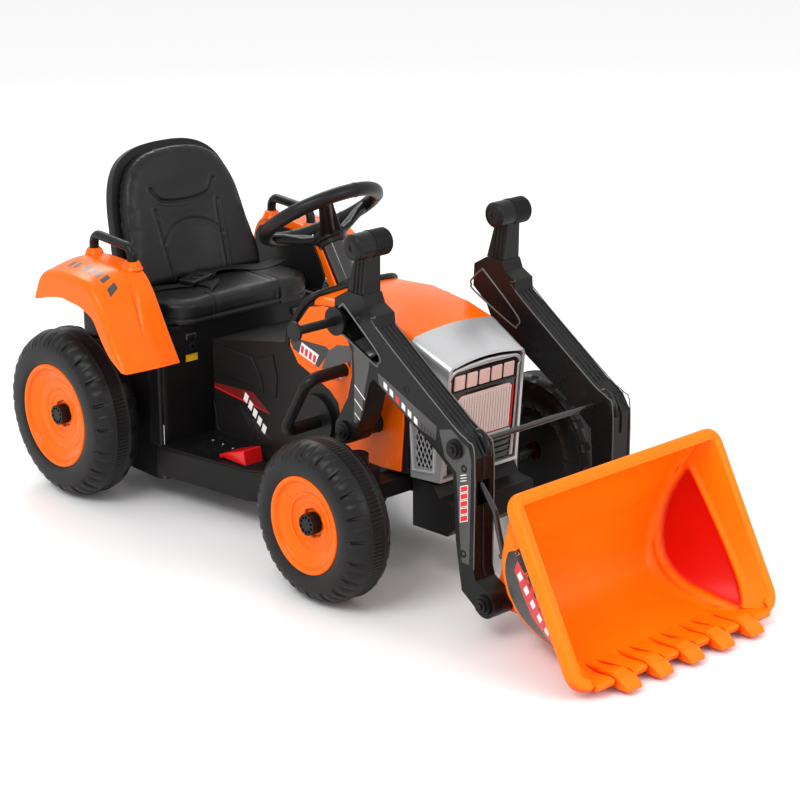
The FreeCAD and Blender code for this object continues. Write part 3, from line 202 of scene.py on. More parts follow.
LOOKS = {  # colour, roughness, grain scale, grain depth in metres, other options
    "orange": ((0.93, 0.145, 0.0015), 0.26, 220, 2e-5, dict(tone=0.04, coat=0.06, specular=0.2)),
    # The bucket's last option is painted shade: a deeper red mixed in where the bucket shades itself.
    "bucket": ((0.94, 0.205, 0.001), 0.36, 260, 5e-5,
               dict(tone=0.05, specular=0.22, hollow=(0.84, 0.055, 0.001))),
    "rim": ((0.94, 0.15, 0.0015), 0.24, 220, 2e-5, dict(tone=0.05, coat=0.07, specular=0.2)),
    "black": ((0.012, 0.0112, 0.011), 0.34, 1100, 6e-5, dict(specular=0.24)),
    "arm": ((0.010, 0.0095, 0.0095), 0.28, 1100, 5e-5, dict(specular=0.26)),
    "tyre": ((0.011, 0.0105, 0.0105), 0.40, 800, 8e-5, dict(specular=0.28)),
    "silver": ((0.56, 0.56, 0.57), 0.30, 2400, 1e-5, dict(tone=0.04, metallic=0.55)),
    "gloss_black": ((0.014, 0.013, 0.013), 0.16, 260, 2e-5, dict(coat=0.3)),
    "grip": ((0.009, 0.0085, 0.0085), 0.36, 1500, 12e-5, dict(specular=0.28)),
    "red": ((0.72, 0.008, 0.010), 0.28, 300, 3e-5, dict(tone=0.05, coat=0.2)),
    "lens": ((0.66, 0.60, 0.57), 0.16, 300, 3e-5, dict(tone=0.05, coat=0.4)),
    "pink_lens": ((0.72, 0.50, 0.45), 0.2, 300, 3e-5, dict(tone=0.08, coat=0.4)),
    "steel": ((0.52, 0.52, 0.53), 0.28, 900, 2e-5, dict(tone=0.08, metallic=1.0)),
    "rod": ((0.018, 0.017, 0.017), 0.12, 500, 1e-5, dict(coat=0.6)),
    "leather": ((0.011, 0.011, 0.0115), 0.36, 620, 2e-4, dict(cells=True, tone=0.15, specular=0.32)),
    "webbing": ((0.010, 0.010, 0.011), 0.55, 1900, 2e-4, dict(cells=True, specular=0.3)),
    "buckle": ((0.009, 0.009, 0.010), 0.22, 900, 3e-5, {}),
    "battery": ((0.16, 0.18, 0.21), 0.5, 1100, 4e-5, {}),
    "gearbox": ((0.05, 0.05, 0.055), 0.5, 1100, 4e-5, {}),
    # Painted shade: near-black matte for the sheet set into the side vents' openings.
    "dark": ((0.006, 0.005, 0.005), 0.7, 1100, 4e-5, {}),
    # Painted highlight: pale grey for the thin lines along the arms' top edges and round their slots.
    "painted_edge_highlight": ((0.13, 0.125, 0.12), 0.3, 900, 3e-5, dict(tone=0.3)),
    "decal_deep_red": ((0.17, 0.012, 0.012), 0.3, 500, 1e-5, {}),
    "decal_grey": ((0.060, 0.057, 0.057), 0.30, 500, 1e-5, dict(coat=0.2)),
    "decal_black": ((0.016, 0.015, 0.015), 0.26, 500, 1e-5, dict(coat=0.2)),
    "decal_white": ((0.78, 0.78, 0.78), 0.28, 500, 1e-5, dict(tone=0.03)),
    "decal_red": ((0.66, 0.012, 0.014), 0.28, 500, 1e-5, dict(coat=0.2)),
    "decal_yellow": ((0.85, 0.50, 0.02), 0.3, 500, 1e-5, {}),
}
MATS = {name: plastic(name, *look, **more) for name, (*look, more) in LOOKS.items()}


# ---------------------------------------------------------------- mesh helpers

FULL = 1.0  # a bevel width beyond any piece: the modifier stops at the roundest edge that fits


def finish_piece(obj, body, material, replaces=(), sharp=35):
    """Shading, material and body of a piece; the CAD parts it replaces are hidden."""
    obj.data.shade_smooth()
    obj.data.set_sharp_from_angle(angle=math.radians(sharp))
    obj.data.materials.clear()
    obj.data.materials.append(MATS[material])
    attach(obj, body)
    if replaces:
        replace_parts(obj, *replaces)
    return obj


def object_from(name, verts, faces):
    mesh = bpy.data.meshes.new(name)
    mesh.from_pydata([tuple(v) for v in verts], [], faces)
    mesh.update()
    return linked(bpy.data.objects.new(name, mesh))


def object_from_bmesh(name, bm):
    bmesh.ops.recalc_face_normals(bm, faces=bm.faces)
    mesh = bpy.data.meshes.new(name)
    bm.to_mesh(mesh)
    bm.free()
    return linked(bpy.data.objects.new(name, mesh))


def outward(obj, fill=True):
    """Closes a mesh's open ends and turns all its faces outwards."""
    bm = bmesh.new()
    bm.from_mesh(obj.data)
    if fill:
        bmesh.ops.holes_fill(bm, edges=bm.edges)
    bmesh.ops.recalc_face_normals(bm, faces=bm.faces)
    bm.to_mesh(obj.data)
    bm.free()


def grid_faces(rows, cols, wrap_rows=False, wrap_cols=False):
    """Quads of a grid of points stored row by row."""
    faces = []
    for i in range(rows if wrap_rows else rows - 1):
        for j in range(cols if wrap_cols else cols - 1):
            a, b = i * cols + j, i * cols + (j + 1) % cols
            c, d = ((i + 1) % rows) * cols + (j + 1) % cols, ((i + 1) % rows) * cols + j
            faces.append((a, b, c, d))
    return faces


def bevel(obj, width, segments=2, angle=35):
    """Rounds the edges sharper than angle, in degrees; width in metres."""
    step = obj.modifiers.new("edges", "BEVEL")
    step.width = width
    step.segments = segments
    step.limit_method = "ANGLE"
    step.angle_limit = math.radians(angle)
    step.miter_outer = "MITER_ARC"


def thicken(obj, depth, offset=-1):
    step = obj.modifiers.new("wall", "SOLIDIFY")
    step.thickness = depth
    step.offset = offset


def applied(obj):
    """Bakes an object's modifiers into its mesh."""
    graph = bpy.context.evaluated_depsgraph_get()
    mesh = bpy.data.meshes.new_from_object(obj.evaluated_get(graph))
    obj.modifiers.clear()
    obj.data = mesh


def rounded(obj, width, segments=3, angle=25):
    """Bakes rounded edges in and weights the normals by face size."""
    bevel(obj, width, segments, angle)
    applied(obj)
    obj.modifiers.new("normals", "WEIGHTED_NORMAL").keep_sharp = True


def refined(node, material, width):
    """A CAD node's own shape with rounded edges; it stands for the node."""
    bm = bmesh.new()
    bm.from_mesh(NODES[node].data)
    bmesh.ops.remove_doubles(bm, verts=bm.verts, dist=2e-5)
    bmesh.ops.dissolve_limit(bm, angle_limit=math.radians(0.8), verts=bm.verts, edges=bm.edges)
    obj = object_from_bmesh(node + "_shell", bm)
    rounded(obj, width, 2, 32)
    finish_piece(obj, body_of(node), material, [node])


def loft(name, rings, width, angle=25):
    """A closed bar through rings of points in metres, with rounded edges."""
    bm = bmesh.new()
    loops = [[bm.verts.new(p) for p in ring] for ring in rings]
    count = len(loops[0])
    for one, two in zip(loops, loops[1:]):
        for i in range(count):
            bm.faces.new((one[i], one[(i + 1) % count], two[(i + 1) % count], two[i]))
    bm.faces.new(loops[0][::-1])
    bm.faces.new(loops[-1])
    obj = object_from_bmesh(name, bm)
    rounded(obj, width, 3, angle)
    return obj


def prism(name, points, y0, y1, body, material, width):
    """A bar whose side view (x, z) is the polygon, from y0 to y1 in millimetres; width in metres."""
    obj = loft(name, [[at(x, y, z) for x, z in points] for y in (y0, y1)], width)
    return finish_piece(obj, body, material)


def tube(name, path, radius, body, material, sides=20, closed=False):
    """A round bar along a list of points; points and radius in metres."""
    pts = [Vector(p) for p in path]
    count = len(pts)
    verts = []
    side = None
    for i, p in enumerate(pts):
        ahead = pts[(i + 1) % count] if closed or i < count - 1 else p
        behind = pts[i - 1] if closed or i else p
        run = (ahead - behind).normalized()
        if side is None:
            side = run.orthogonal().normalized()
        side = (side - run * side.dot(run)).normalized()
        up = run.cross(side)
        for k in range(sides):
            f = 2 * math.pi * k / sides
            verts.append(p + (side * math.cos(f) + up * math.sin(f)) * radius)
    obj = object_from(name, verts, grid_faces(count, sides, wrap_rows=closed, wrap_cols=True))
    if not closed:
        outward(obj)
    return finish_piece(obj, body, material, sharp=50)


def lathe(name, profile, base, axis, body, material, segments=48):
    """Revolved about axis through base; profile points are (radius, distance) in millimetres."""
    axis = Vector(axis).normalized()
    side = axis.orthogonal().normalized()
    up = axis.cross(side)
    verts = []
    for i in range(segments):
        f = 2 * math.pi * i / segments
        for r, t in profile:
            away = side * math.cos(f) + up * math.sin(f)
            verts.append(base + axis * t / 1000 + away * max(r, 0.01) / 1000)
    obj = object_from(name, verts, grid_faces(segments, len(profile), wrap_rows=True))
    outward(obj)
    return finish_piece(obj, body, material)


def screw(name, base, axis, radius, body):
    """Round steel screw head with a dished middle."""
    profile = [(0.35 * radius, 0.2), (0.45 * radius, 1.2), (0.8 * radius, 1.5), (radius, 0.8),
               (radius, -1.5)]
    lathe(name, profile, base, axis, body, "steel", 20)


def sticker(name, target, points, spot, direction, material, body, lift=0.25, cell=9.0):
    """A thin printed film: a flat outline laid onto the target's surface by rays along direction.

    spot turns an outline point into the ray's start; lift is in millimetres, cell is the longest
    edge in the outline's own unit.
    """
    bm = bmesh.new()
    face = bm.faces.new([bm.verts.new((u, v, 0)) for u, v in points])
    bmesh.ops.triangulate(bm, faces=[face])
    for _ in range(5):
        long_edges = [e for e in bm.edges if e.calc_length() > cell]
        if not long_edges:
            break
        bmesh.ops.subdivide_edges(bm, edges=long_edges, cuts=1)
        bmesh.ops.triangulate(bm, faces=bm.faces)
    direction = Vector(direction).normalized()
    tree = BVHTree.FromObject(target, bpy.context.evaluated_depsgraph_get())
    missed = []
    for vert in bm.verts:
        hit = tree.ray_cast(spot(vert.co.x, vert.co.y), direction)[0]
        if hit is None:
            missed.append(vert)
        else:
            vert.co = hit - direction * lift / 1000
    bmesh.ops.delete(bm, geom=missed, context="VERTS")
    obj = object_from_bmesh(name, bm)
    facing = sum((f.normal.dot(direction) * f.area for f in obj.data.polygons), 0.0)
    if facing > 0:
        obj.data.flip_normals()
    finish_piece(obj, body, material, sharp=80)


def body_of(node):
    for body, members in frame["record"]["behaviour"]["bodies"].items():
        if node in members:
            return body
    raise KeyError(node)


def smooth_line(points, steps):
    """A Catmull-Rom line through the points, as a list of tuples."""
    pts = [np.array(p, float) for p in points]
    pts = [2 * pts[0] - pts[1]] + pts + [2 * pts[-1] - pts[-2]]
    out = []
    for i in range(1, len(pts) - 2):
        p0, p1, p2, p3 = pts[i - 1:i + 3]
        for k in range(steps):
            t = k / steps
            out.append(0.5 * (2 * p1 + (p2 - p0) * t + (2 * p0 - 5 * p1 + 4 * p2 - p3) * t ** 2
                              + (3 * p1 - p0 - 3 * p2 + p3) * t ** 3))
    out.append(pts[-2])
    return [tuple(p) for p in out]


# ---------------------------------------------------------------- smooth steps for carved surfaces

def bump(x, width):
    """A smooth hump of height 1 about x = 0."""
    t = np.clip(np.abs(x) / width, 0, 1)
    return (1 - t ** 2) ** 2


def plateau(x, low, high, ramp):
    """1 between low and high, falling to 0 over ramp on each side."""
    rise = np.clip((x - low) / ramp, 0, 1)
    fall = np.clip((high - x) / ramp, 0, 1)
    s = np.minimum(rise, fall)
    return s * s * (3 - 2 * s)


# ---------------------------------------------------------------- wheels, in millimetres

LUGS = 20  # shoulder blocks round a tyre
Wheel = namedtuple("Wheel", "radius rim width face x segments ridges")
WHEELS = {"rear": Wheel(165, 102, 100, 340, 0, 840, 140),
          "front": Wheel(145, 88, 90, 316, 717, 720, 120)}


def turned_piece(name, r, t, angle, end, side, wrap_cols=False):
    """A wheel piece from its radii and depths behind the face, one row for each angle."""
    wheel, s = WHEELS[end], SIDES[side]
    verts = np.stack([r * np.cos(angle) / 1000, np.broadcast_to(-s * t / 1000, r.shape),
                      r * np.sin(angle) / 1000], axis=-1).reshape(-1, 3)
    verts += np.array(at(wheel.x, s * wheel.face, wheel.radius))
    return object_from(name, verts, grid_faces(*r.shape, wrap_rows=True, wrap_cols=wrap_cols))


def tyre(end, side):
    """Blow-moulded tyre: plain sidewall, notched shoulder, seam, fine ridged band and inner lugs."""
    radius, rim, width, _, _, segments, ridges = WHEELS[end]
    band_in, band_out = 36, 65
    corner = [(rim - 5.8, 14.2), (rim - 3.5, 7.5), (rim + 0.5, 3.2), (rim + 5, 1.2), (rim + 12, 0.5),
              (radius - 44, 0.3), (radius - 34, 0.6), (radius - 28, 1.4), (radius - 24, 2.6),
              (radius - 20, 4.4), (radius - 16, 6.8), (radius - 12.5, 10), (radius - 9.5, 14),
              (radius - 7, 18.5), (radius - 5, 23), (radius - 3.4, 27.5), (radius - 2.2, 31.5),
              (radius - 1.5, 34.2), (radius - 0.9, 35.2), (radius - 0.9, 36.2), (radius - 2.4, 37)]
    band = [(radius - 2.6, t) for t in np.linspace(38, band_out - 2, 9)]
    inner = [(radius - 2.4, band_out - 1), (radius - 1.0, band_out), (radius - 0.6, 68),
             (radius - 1.2, 72), (radius - 2.6, 77), (radius - 5, 82), (radius - 9, 87),
             (radius - 14, width - 6), (radius - 20, width - 2), (radius - 30, width - 0.6),
             (rim + 16, width - 1), (rim + 4, width - 5), (rim - 5.8, width - 10.2)]
    if width < 95:
        inner = [(r, t if t <= 65 else 65 + (t - 65) * (width - 65) / 35 if t < 90 else t)
                 for r, t in inner]
    profile = np.array(corner + band + inner)
    r0, t0 = profile[:, 0], profile[:, 1]
    angle = np.linspace(0, 2 * np.pi, segments, endpoint=False)[:, None]
    phase = (angle * LUGS / (2 * np.pi)) % 1.0
    r = np.broadcast_to(r0, (segments, len(r0))).copy()
    t = np.broadcast_to(t0, r.shape).copy()
    outer = (t0 < band_in)[None, :]
    drop = radius - r0
    shoulder = plateau(drop, 4.5, 23, 5) * (t0 < 30)
    shoulder_in = plateau(t0, 67, width - 8, 5)
    scallop = 0.5 - 0.5 * np.cos(angle * LUGS * 2)
    r -= 2.6 * shoulder * scallop ** 2
    slit = plateau(phase, 0.08, 0.21, 0.04)
    r -= 3.6 * slit * plateau(drop, 3.5, 24, 3) * outer
    t += 2.6 * slit * plateau(drop, 8, 27, 3) * outer
    lug = plateau(phase, 0.22, 0.55, 0.03)
    t -= 0.3 * lug * plateau(drop, 14, 30, 3) * outer
    pocket = plateau(phase, 0.27, 0.47, 0.04) * plateau(drop, 19, 29, 3) * outer
    t += 1.5 * pocket
    line = bump(phase - 0.72, 0.035)
    r -= 0.9 * line * plateau(t0, 10, 34, 3)
    r -= 1.3 * (0.5 + 0.5 * np.cos(angle * ridges)) * plateau(t0, 38.5, band_out - 2.5, 1.5)
    lug_in = plateau(phase, 0.1, 0.8, 0.05)
    r -= 4.2 * (1 - lug_in) * shoulder_in
    r = np.minimum(r, radius)
    t = np.clip(t, 0.05, width)
    obj = turned_piece(f"{end}_tyre_{side}_shell", r, t, angle, end, side)
    if side == "right":
        obj.data.flip_normals()
    finish_piece(obj, f"{end}_wheel_{side}", "tyre", [f"{end}_tyre_{side}"], 40)


def rim_dish(end, side):
    """Stepped dish with raised rings, and a lobed well round the hub cap."""
    rim, width = WHEELS[end].rim, WHEELS[end].width
    segments = 160
    fixed = [(rim - 6.2, width - 14), (rim - 6.2, 14.4), (rim - 0.4, 14.4), (rim - 0.4, 4),
             (rim - 1.6, 2.2), (rim - 4, 1.4), (rim - 7, 1.8), (rim - 9.5, 3.6), (rim - 11, 6.4),
             (rim - 12, 9), (rim - 14, 10.4), (rim - 18, 11.6), (rim - 24, 13.6), (rim - 30, 16),
             (rim - 33, 18.2), (rim - 35, 19), (rim - 38, 18.6), (54, 19.5), (50, 20.6), (48, 22.6),
             (45.5, 23.4), (43, 22.6), (40, 22.4), (37.5, 24.2), (35, 25.2), (32, 24.6), (29, 24.4)]
    well = [(25.5, 24.6), (24.2, 25.4), (23.4, 27.5), (23, 31), (12, 31.4), (7, 31.4)]
    profile = np.array(fixed + well)
    count = len(profile)
    angle = np.linspace(0, 2 * np.pi, segments, endpoint=False)[:, None]
    r = np.broadcast_to(profile[:, 0], (segments, count)).copy()
    t = np.broadcast_to(profile[:, 1], (segments, count)).copy()
    lobes = 0.5 + 0.5 * np.cos(angle * 8)
    near = plateau(profile[:, 0], 22, 26, 0.5)[None, :]
    r += 2.4 * lobes * near
    obj = turned_piece(f"{end}_rim_{side}_shell", r, t, angle, end, side)
    if side == "left":
        obj.data.flip_normals()
    finish_piece(obj, f"{end}_wheel_{side}", "rim", [f"{end}_rim_{side}"], 40)


def hub_cap(end, side):
    """Scalloped disc with ten round holes."""
    wheel, s = WHEELS[end], SIDES[side]
    centre = at(wheel.x, s * (wheel.face - 9), wheel.radius)
    bm = bmesh.new()
    count, holes = 120, 10
    outline = []
    for i in range(count):
        angle = 2 * math.pi * i / count
        r = 19.2 - 1.3 * max(0.0, math.cos(angle * holes)) ** 6
        outline.append((r * math.cos(angle), r * math.sin(angle)))
    front = [bm.verts.new((a / 1000, 0, b / 1000)) for a, b in outline]
    face_main = bm.faces.new(front)
    deep = bmesh.ops.extrude_face_region(bm, geom=[face_main])
    moved = [g for g in deep["geom"] if isinstance(g, bmesh.types.BMVert)]
    bmesh.ops.translate(bm, verts=moved, vec=(0, -s * 0.020, 0))
    disc = object_from_bmesh(f"{end}_hub_cap_{side}_shell", bm)
    disc.location = centre
    cutters = []
    for i in range(holes):
        angle = 2 * math.pi * (i + 0.5) / holes
        bpy.ops.mesh.primitive_cylinder_add(radius=0.0027, depth=0.008, vertices=20,
                                            rotation=(math.pi / 2, 0, 0), location=centre
                                            + Vector((math.cos(angle), 0, math.sin(angle))) * 0.0135)
        cutters.append(bpy.context.object)
    bpy.ops.object.select_all(action="DESELECT")
    for cutter in cutters:
        cutter.select_set(True)
    bpy.context.view_layer.objects.active = cutters[0]
    bpy.ops.object.join()
    cutter = bpy.context.object
    cut = disc.modifiers.new("holes", "BOOLEAN")
    cut.object = cutter
    cut.operation = "DIFFERENCE"
    cut.solver = "EXACT"
    bpy.context.view_layer.update()
    applied(disc)
    bpy.data.objects.remove(cutter)
    bevel(disc, 0.0005, 2, 40)
    finish_piece(disc, f"{end}_wheel_{side}", "black", [f"{end}_hub_cap_{side}"])


def rim_back(end, side):
    """Dark ring inside the wheel, behind the dish and round the axle."""
    rim, width = WHEELS[end].rim, WHEELS[end].width
    ring = np.array([(18, width - 24), (40, width - 22), (rim - 8, width - 18), (rim - 8, width - 15.5),
                     (40, width - 19), (18, width - 21)])
    angle = np.linspace(0, 2 * np.pi, 64, endpoint=False)[:, None]
    r, t = (np.broadcast_to(ring[:, k], (64, len(ring))) for k in (0, 1))
    obj = turned_piece(f"{end}_rim_{side}_back", r, t, angle, end, side, wrap_cols=True)
    outward(obj, fill=False)
    finish_piece(obj, f"{end}_wheel_{side}", "black")


def wheels():
    for side in SIDES:
        for make in (tyre, rim_dish, rim_back, hub_cap):
            for end in WHEELS:
                make(end, side)


# ---------------------------------------------------------------- bucket

BUCKET_LINE = [(20, 0, 222), (15, 14, 222), (16, 32, 219), (28, 56, 214), (46, 82, 209), (72, 110, 202),
               (100, 136, 194), (132, 157, 185), (165, 170, 176), (195, 170, 169), (224, 155, 164),
               (252, 129, 164), (281, 88, 170), (305, 46, 186), (320, 12, 208)]
RECESS = [(52, 70), (66, 92), (88, 118), (118, 140), (152, 153), (186, 153), (216, 139), (244, 115),
          (272, 80), (296, 50), (312, 34), (308, 30), (60, 60), (54, 63)]


def bucket_point(a, b, y):
    """A point by its distance down the mouth, depth behind it and side, in millimetres."""
    return at(1146 + a * 0.4805 - b * 0.877, y, 306 - a * 0.877 - b * 0.4805)


def signed_distance(points, px, py):
    """Distance of each (px, py) to a closed polygon, positive inside."""
    pts = np.array(points, float)
    best = np.full(px.shape, 1e9)
    inside = np.zeros(px.shape, bool)
    for (x0, y0), (x1, y1) in zip(pts, np.roll(pts, -1, axis=0)):
        dx, dy = x1 - x0, y1 - y0
        t = np.clip(((px - x0) * dx + (py - y0) * dy) / (dx * dx + dy * dy), 0, 1)
        best = np.minimum(best, np.hypot(px - x0 - t * dx, py - y0 - t * dy))
        crosses = (y0 > py) != (y1 > py)
        with np.errstate(divide="ignore", invalid="ignore"):
            left = px < (x1 - x0) * (py - y0) / (y1 - y0) + x0
        inside ^= crosses & left
    return np.where(inside, best, -best)


def bucket_wall():
    """Curved back, floor and tapering cheeks with a pressed recess, as one sheet given a thickness."""
    line = np.array(smooth_line(BUCKET_LINE, 8))
    verts = []
    centre = np.linspace(0, 1, 15)[:-1]
    turn = np.linspace(0, math.pi / 2, 9)[:-1]
    rise = np.linspace(0, 1, 66)
    across = len(centre) + len(turn) + len(rise)
    for a, b, w in line:
        share = (a - 20) / 300
        mouth = np.array([20 + 302 * np.clip(share, 0, 1), -1.0, 229.5])
        edge = np.array([a, b, w])
        run = mouth - edge
        gap = np.linalg.norm(run)
        along = run / gap
        r = min(24, gap * 0.6)
        row = [(a, b, u * (w - r)) for u in centre]
        row += [tuple(np.array([a, b, w - r + r * math.sin(f)]) + along * r * (1 - math.cos(f))
                      * np.array([1, 1, 0.3])) for f in turn]
        start = edge + along * r * np.array([1, 1, 0.3])
        row += [tuple(start + (mouth - start) * q) for q in rise]
        verts.append(row)
    grid = np.array(verts)
    a, b, y = grid[..., 0], grid[..., 1], grid[..., 2].copy()
    cheek = np.zeros(a.shape, bool)
    cheek[:, len(centre) + len(turn) - 3:] = True
    inner = signed_distance(smooth_line(RECESS[:10], 6) + RECESS[10:], a, b)
    pressed = np.clip(inner / 6, 0, 1)
    pressed = pressed * pressed * (3 - 2 * pressed)
    rib = bump(inner + 5, 6.5)
    y = y + cheek * (6.5 * pressed - 3.2 * rib)
    arcs = bump(a - 70 + 0.12 * y, 5) + bump(a - 100 + 0.10 * y, 5)
    b = b + 0.9 * arcs * plateau(y, 20, 190, 30) * ~cheek
    rows = []
    for i in range(len(grid)):
        right = [bucket_point(a[i, j], b[i, j], -y[i, j]) for j in range(across - 1, 0, -1)]
        left = [bucket_point(a[i, j], b[i, j], y[i, j]) for j in range(across)]
        rows += right + left
    width = 2 * across - 1
    obj = object_from("bucket_wall", rows, grid_faces(len(grid), width))
    thicken(obj, 0.004, 1)
    applied(obj)
    # Painted shade: this recess attribute tells the bucket's material where to lay its darker red.
    recess = np.zeros(len(obj.data.vertices))
    for i in range(len(grid)):
        middle = len(rows) + i * width + across - 1
        sunk = pressed[i] * cheek[i]
        recess[middle:middle + across] = sunk
        recess[middle - across + 1:middle + 1] = sunk[::-1]
    layer = obj.data.attributes.new("recess", "FLOAT", "POINT")
    layer.data.foreach_set("value", recess)
    return finish_piece(obj, "bucket", "bucket", ["bucket"], 60)


def bucket_rim():
    """Rolled flange round both sides and the top of the mouth, turning in at the lip's corners."""
    low, high, half = 333, 0, 251
    path = [(low - 7, -206), (low - 5, -218)]
    for f in np.linspace(0, 90, 9):
        path.append((low - 40 + 36 * math.cos(math.radians(f)),
                     -half + 36 - 36 * math.sin(math.radians(f))))
    for f in np.linspace(0, 90, 9):
        path.append((high + 30 - 30 * math.sin(math.radians(f)),
                     -half + 30 - 30 * math.cos(math.radians(f))))
    path += [(a, -y) for a, y in path[::-1]]
    profile = [(22, 6), (21.4, 2.6), (19.6, 0.4), (17, -0.9), (12, -1.2), (7, -1.1), (4, -0.3),
               (1.6, 1.4), (0.3, 4), (0, 8), (0, 15), (1, 17.4), (3, 18), (5, 17), (5.6, 14), (9, 8),
               (15, 7.6), (20, 9)]
    verts = []
    count = len(path)
    for i, (a, y) in enumerate(path):
        (a0, y0), (a1, y1) = path[max(0, i - 1)], path[min(count - 1, i + 1)]
        size = math.hypot(a1 - a0, y1 - y0)
        na, ny = (y1 - y0) / size, -(a1 - a0) / size
        if na * (166 - a) + ny * (0 - y) < 0:
            na, ny = -na, -ny
        fade = min(1.0, 0.25 + 0.3 * i, 0.25 + 0.3 * (count - 1 - i))
        for u, b in profile:
            verts.append(bucket_point(a + na * u * fade, b * (0.5 + 0.5 * fade), y + ny * u * fade))
    obj = object_from("bucket_rim", verts, grid_faces(count, len(profile), wrap_cols=True))
    outward(obj)
    finish_piece(obj, "bucket", "bucket", sharp=60)


TOOTH_PITCH = 75.7  # millimetres between the bucket's teeth


def bucket_lip():
    """Floor plates with straight front edges and the five wedge teeth between them."""
    plates = [(173, 212), (TOOTH_PITCH + 21.5, 2 * TOOTH_PITCH - 21.5), (21.5, TOOTH_PITCH - 21.5)]
    plates = [(-y1, -y0) for y0, y1 in plates] + plates[::-1]
    for number, (y0, y1) in enumerate(plates):
        outermost = abs(y0 + y1) > 380
        rear = [(1268, 14), (1268, 22)] if outermost else [(1214, 12.5), (1214, 14), (1262, 22.5)]
        view = rear + [(1300, 27), (1309, 25.5), (1311, 22), (1309, 14.5), (1302, 12)]
        prism(f"bucket_plate_{number}", view, y0, y1, "bucket", "bucket", 0.0025)
    base = [(1266, 12), (1266, 17), (1306, 20), (1306, 13), (1296, 11)]
    prism("bucket_lip_base", base, -206, 206, "bucket", "bucket", 0.002)
    for i in range(-2, 3):
        y = i * TOOTH_PITCH
        rows = [(1222, 4, 15.5, 12), (1262, 12, 24.5, 10), (1296, 17.5, 31, 8.4), (1318, 19, 27, 8.2),
                (1332, 17, 18, 8.2), (1335, 14.5, 14.5, 8.6)]
        rings = []
        for x, half, top, low in rows:
            slope = min(4.0, half * 0.4)
            section = [(-half, low), (-half, top - slope), (-half + slope, top), (half - slope, top),
                       (half, top - slope), (half, low)]
            rings.append([at(x, y + dy, z) for dy, z in section])
        finish_piece(loft(f"bucket_tooth_{i + 3}", rings, 0.0018, 20), "bucket", "bucket")


def bucket_ears():
    """Pivot ears behind the bucket, cut from the side view."""
    for name, s in SIDES.items():
        view = [(1022, 44), (1086, 44), (1070, 76), (1066, 112), (1072, 156), (1082, 176), (1050, 176),
                (1036, 160), (1012, 72)]
        y0, y1 = sorted((s * 130.5, s * 141.9))
        prism(f"bucket_ear_{name}", view, y0, y1, "bucket", "bucket", 0.002)


def bucket_decals(wall):
    """Dark side panel with a red block and white slanted bars in place of lettering."""
    panel = smooth_line([(84, 84), (98, 106), (120, 126), (152, 139), (186, 139), (214, 126),
                         (240, 102), (262, 70), (278, 40)], 4) + [(268, 30), (84, 50)]
    red = [(100, 62), (114, 86), (196, 96), (242, 78), (262, 40), (226, 34)]
    for name, s in SIDES.items():
        def film(tag, points, material, lift):
            sticker(f"bucket_decal_{tag}{name}", wall, points, lambda a, b: bucket_point(a, b, s * 300),
                    (0, -s, 0), material, "bucket", lift)

        film("", panel, "decal_black", 0.8)
        film("red_", red, "decal_red", 1.1)
        for i in range(5):
            a = 118 + 24 * i
            b0 = 66 - 2.5 * i
            bar = [(a, b0), (a + 5, b0 + 17), (a + 17, b0 + 16), (a + 12, b0 - 1)]
            film(f"bar_{i}_", bar, "decal_white", 1.4)


def bucket():
    wall = bucket_wall()
    bucket_rim()
    bucket_lip()
    bucket_ears()
    bucket_decals(wall)


# ---------------------------------------------------------------- rear body and seat

FENDER_TOP = [(-62, 388), (-58, 415), (-50, 438), (-36, 455), (-12, 464), (30, 468), (75, 467),
              (112, 462), (138, 450), (160, 425), (180, 393), (200, 359), (218, 330), (236, 300)]
FENDER_LOW = [(-62, 384), (-56, 385), (-48, 387), (-36, 390), (-12, 397), (28, 404), (60, 402),
              (85, 400), (105, 394), (128, 384), (142, 366), (158, 343), (180, 320), (214, 300)]


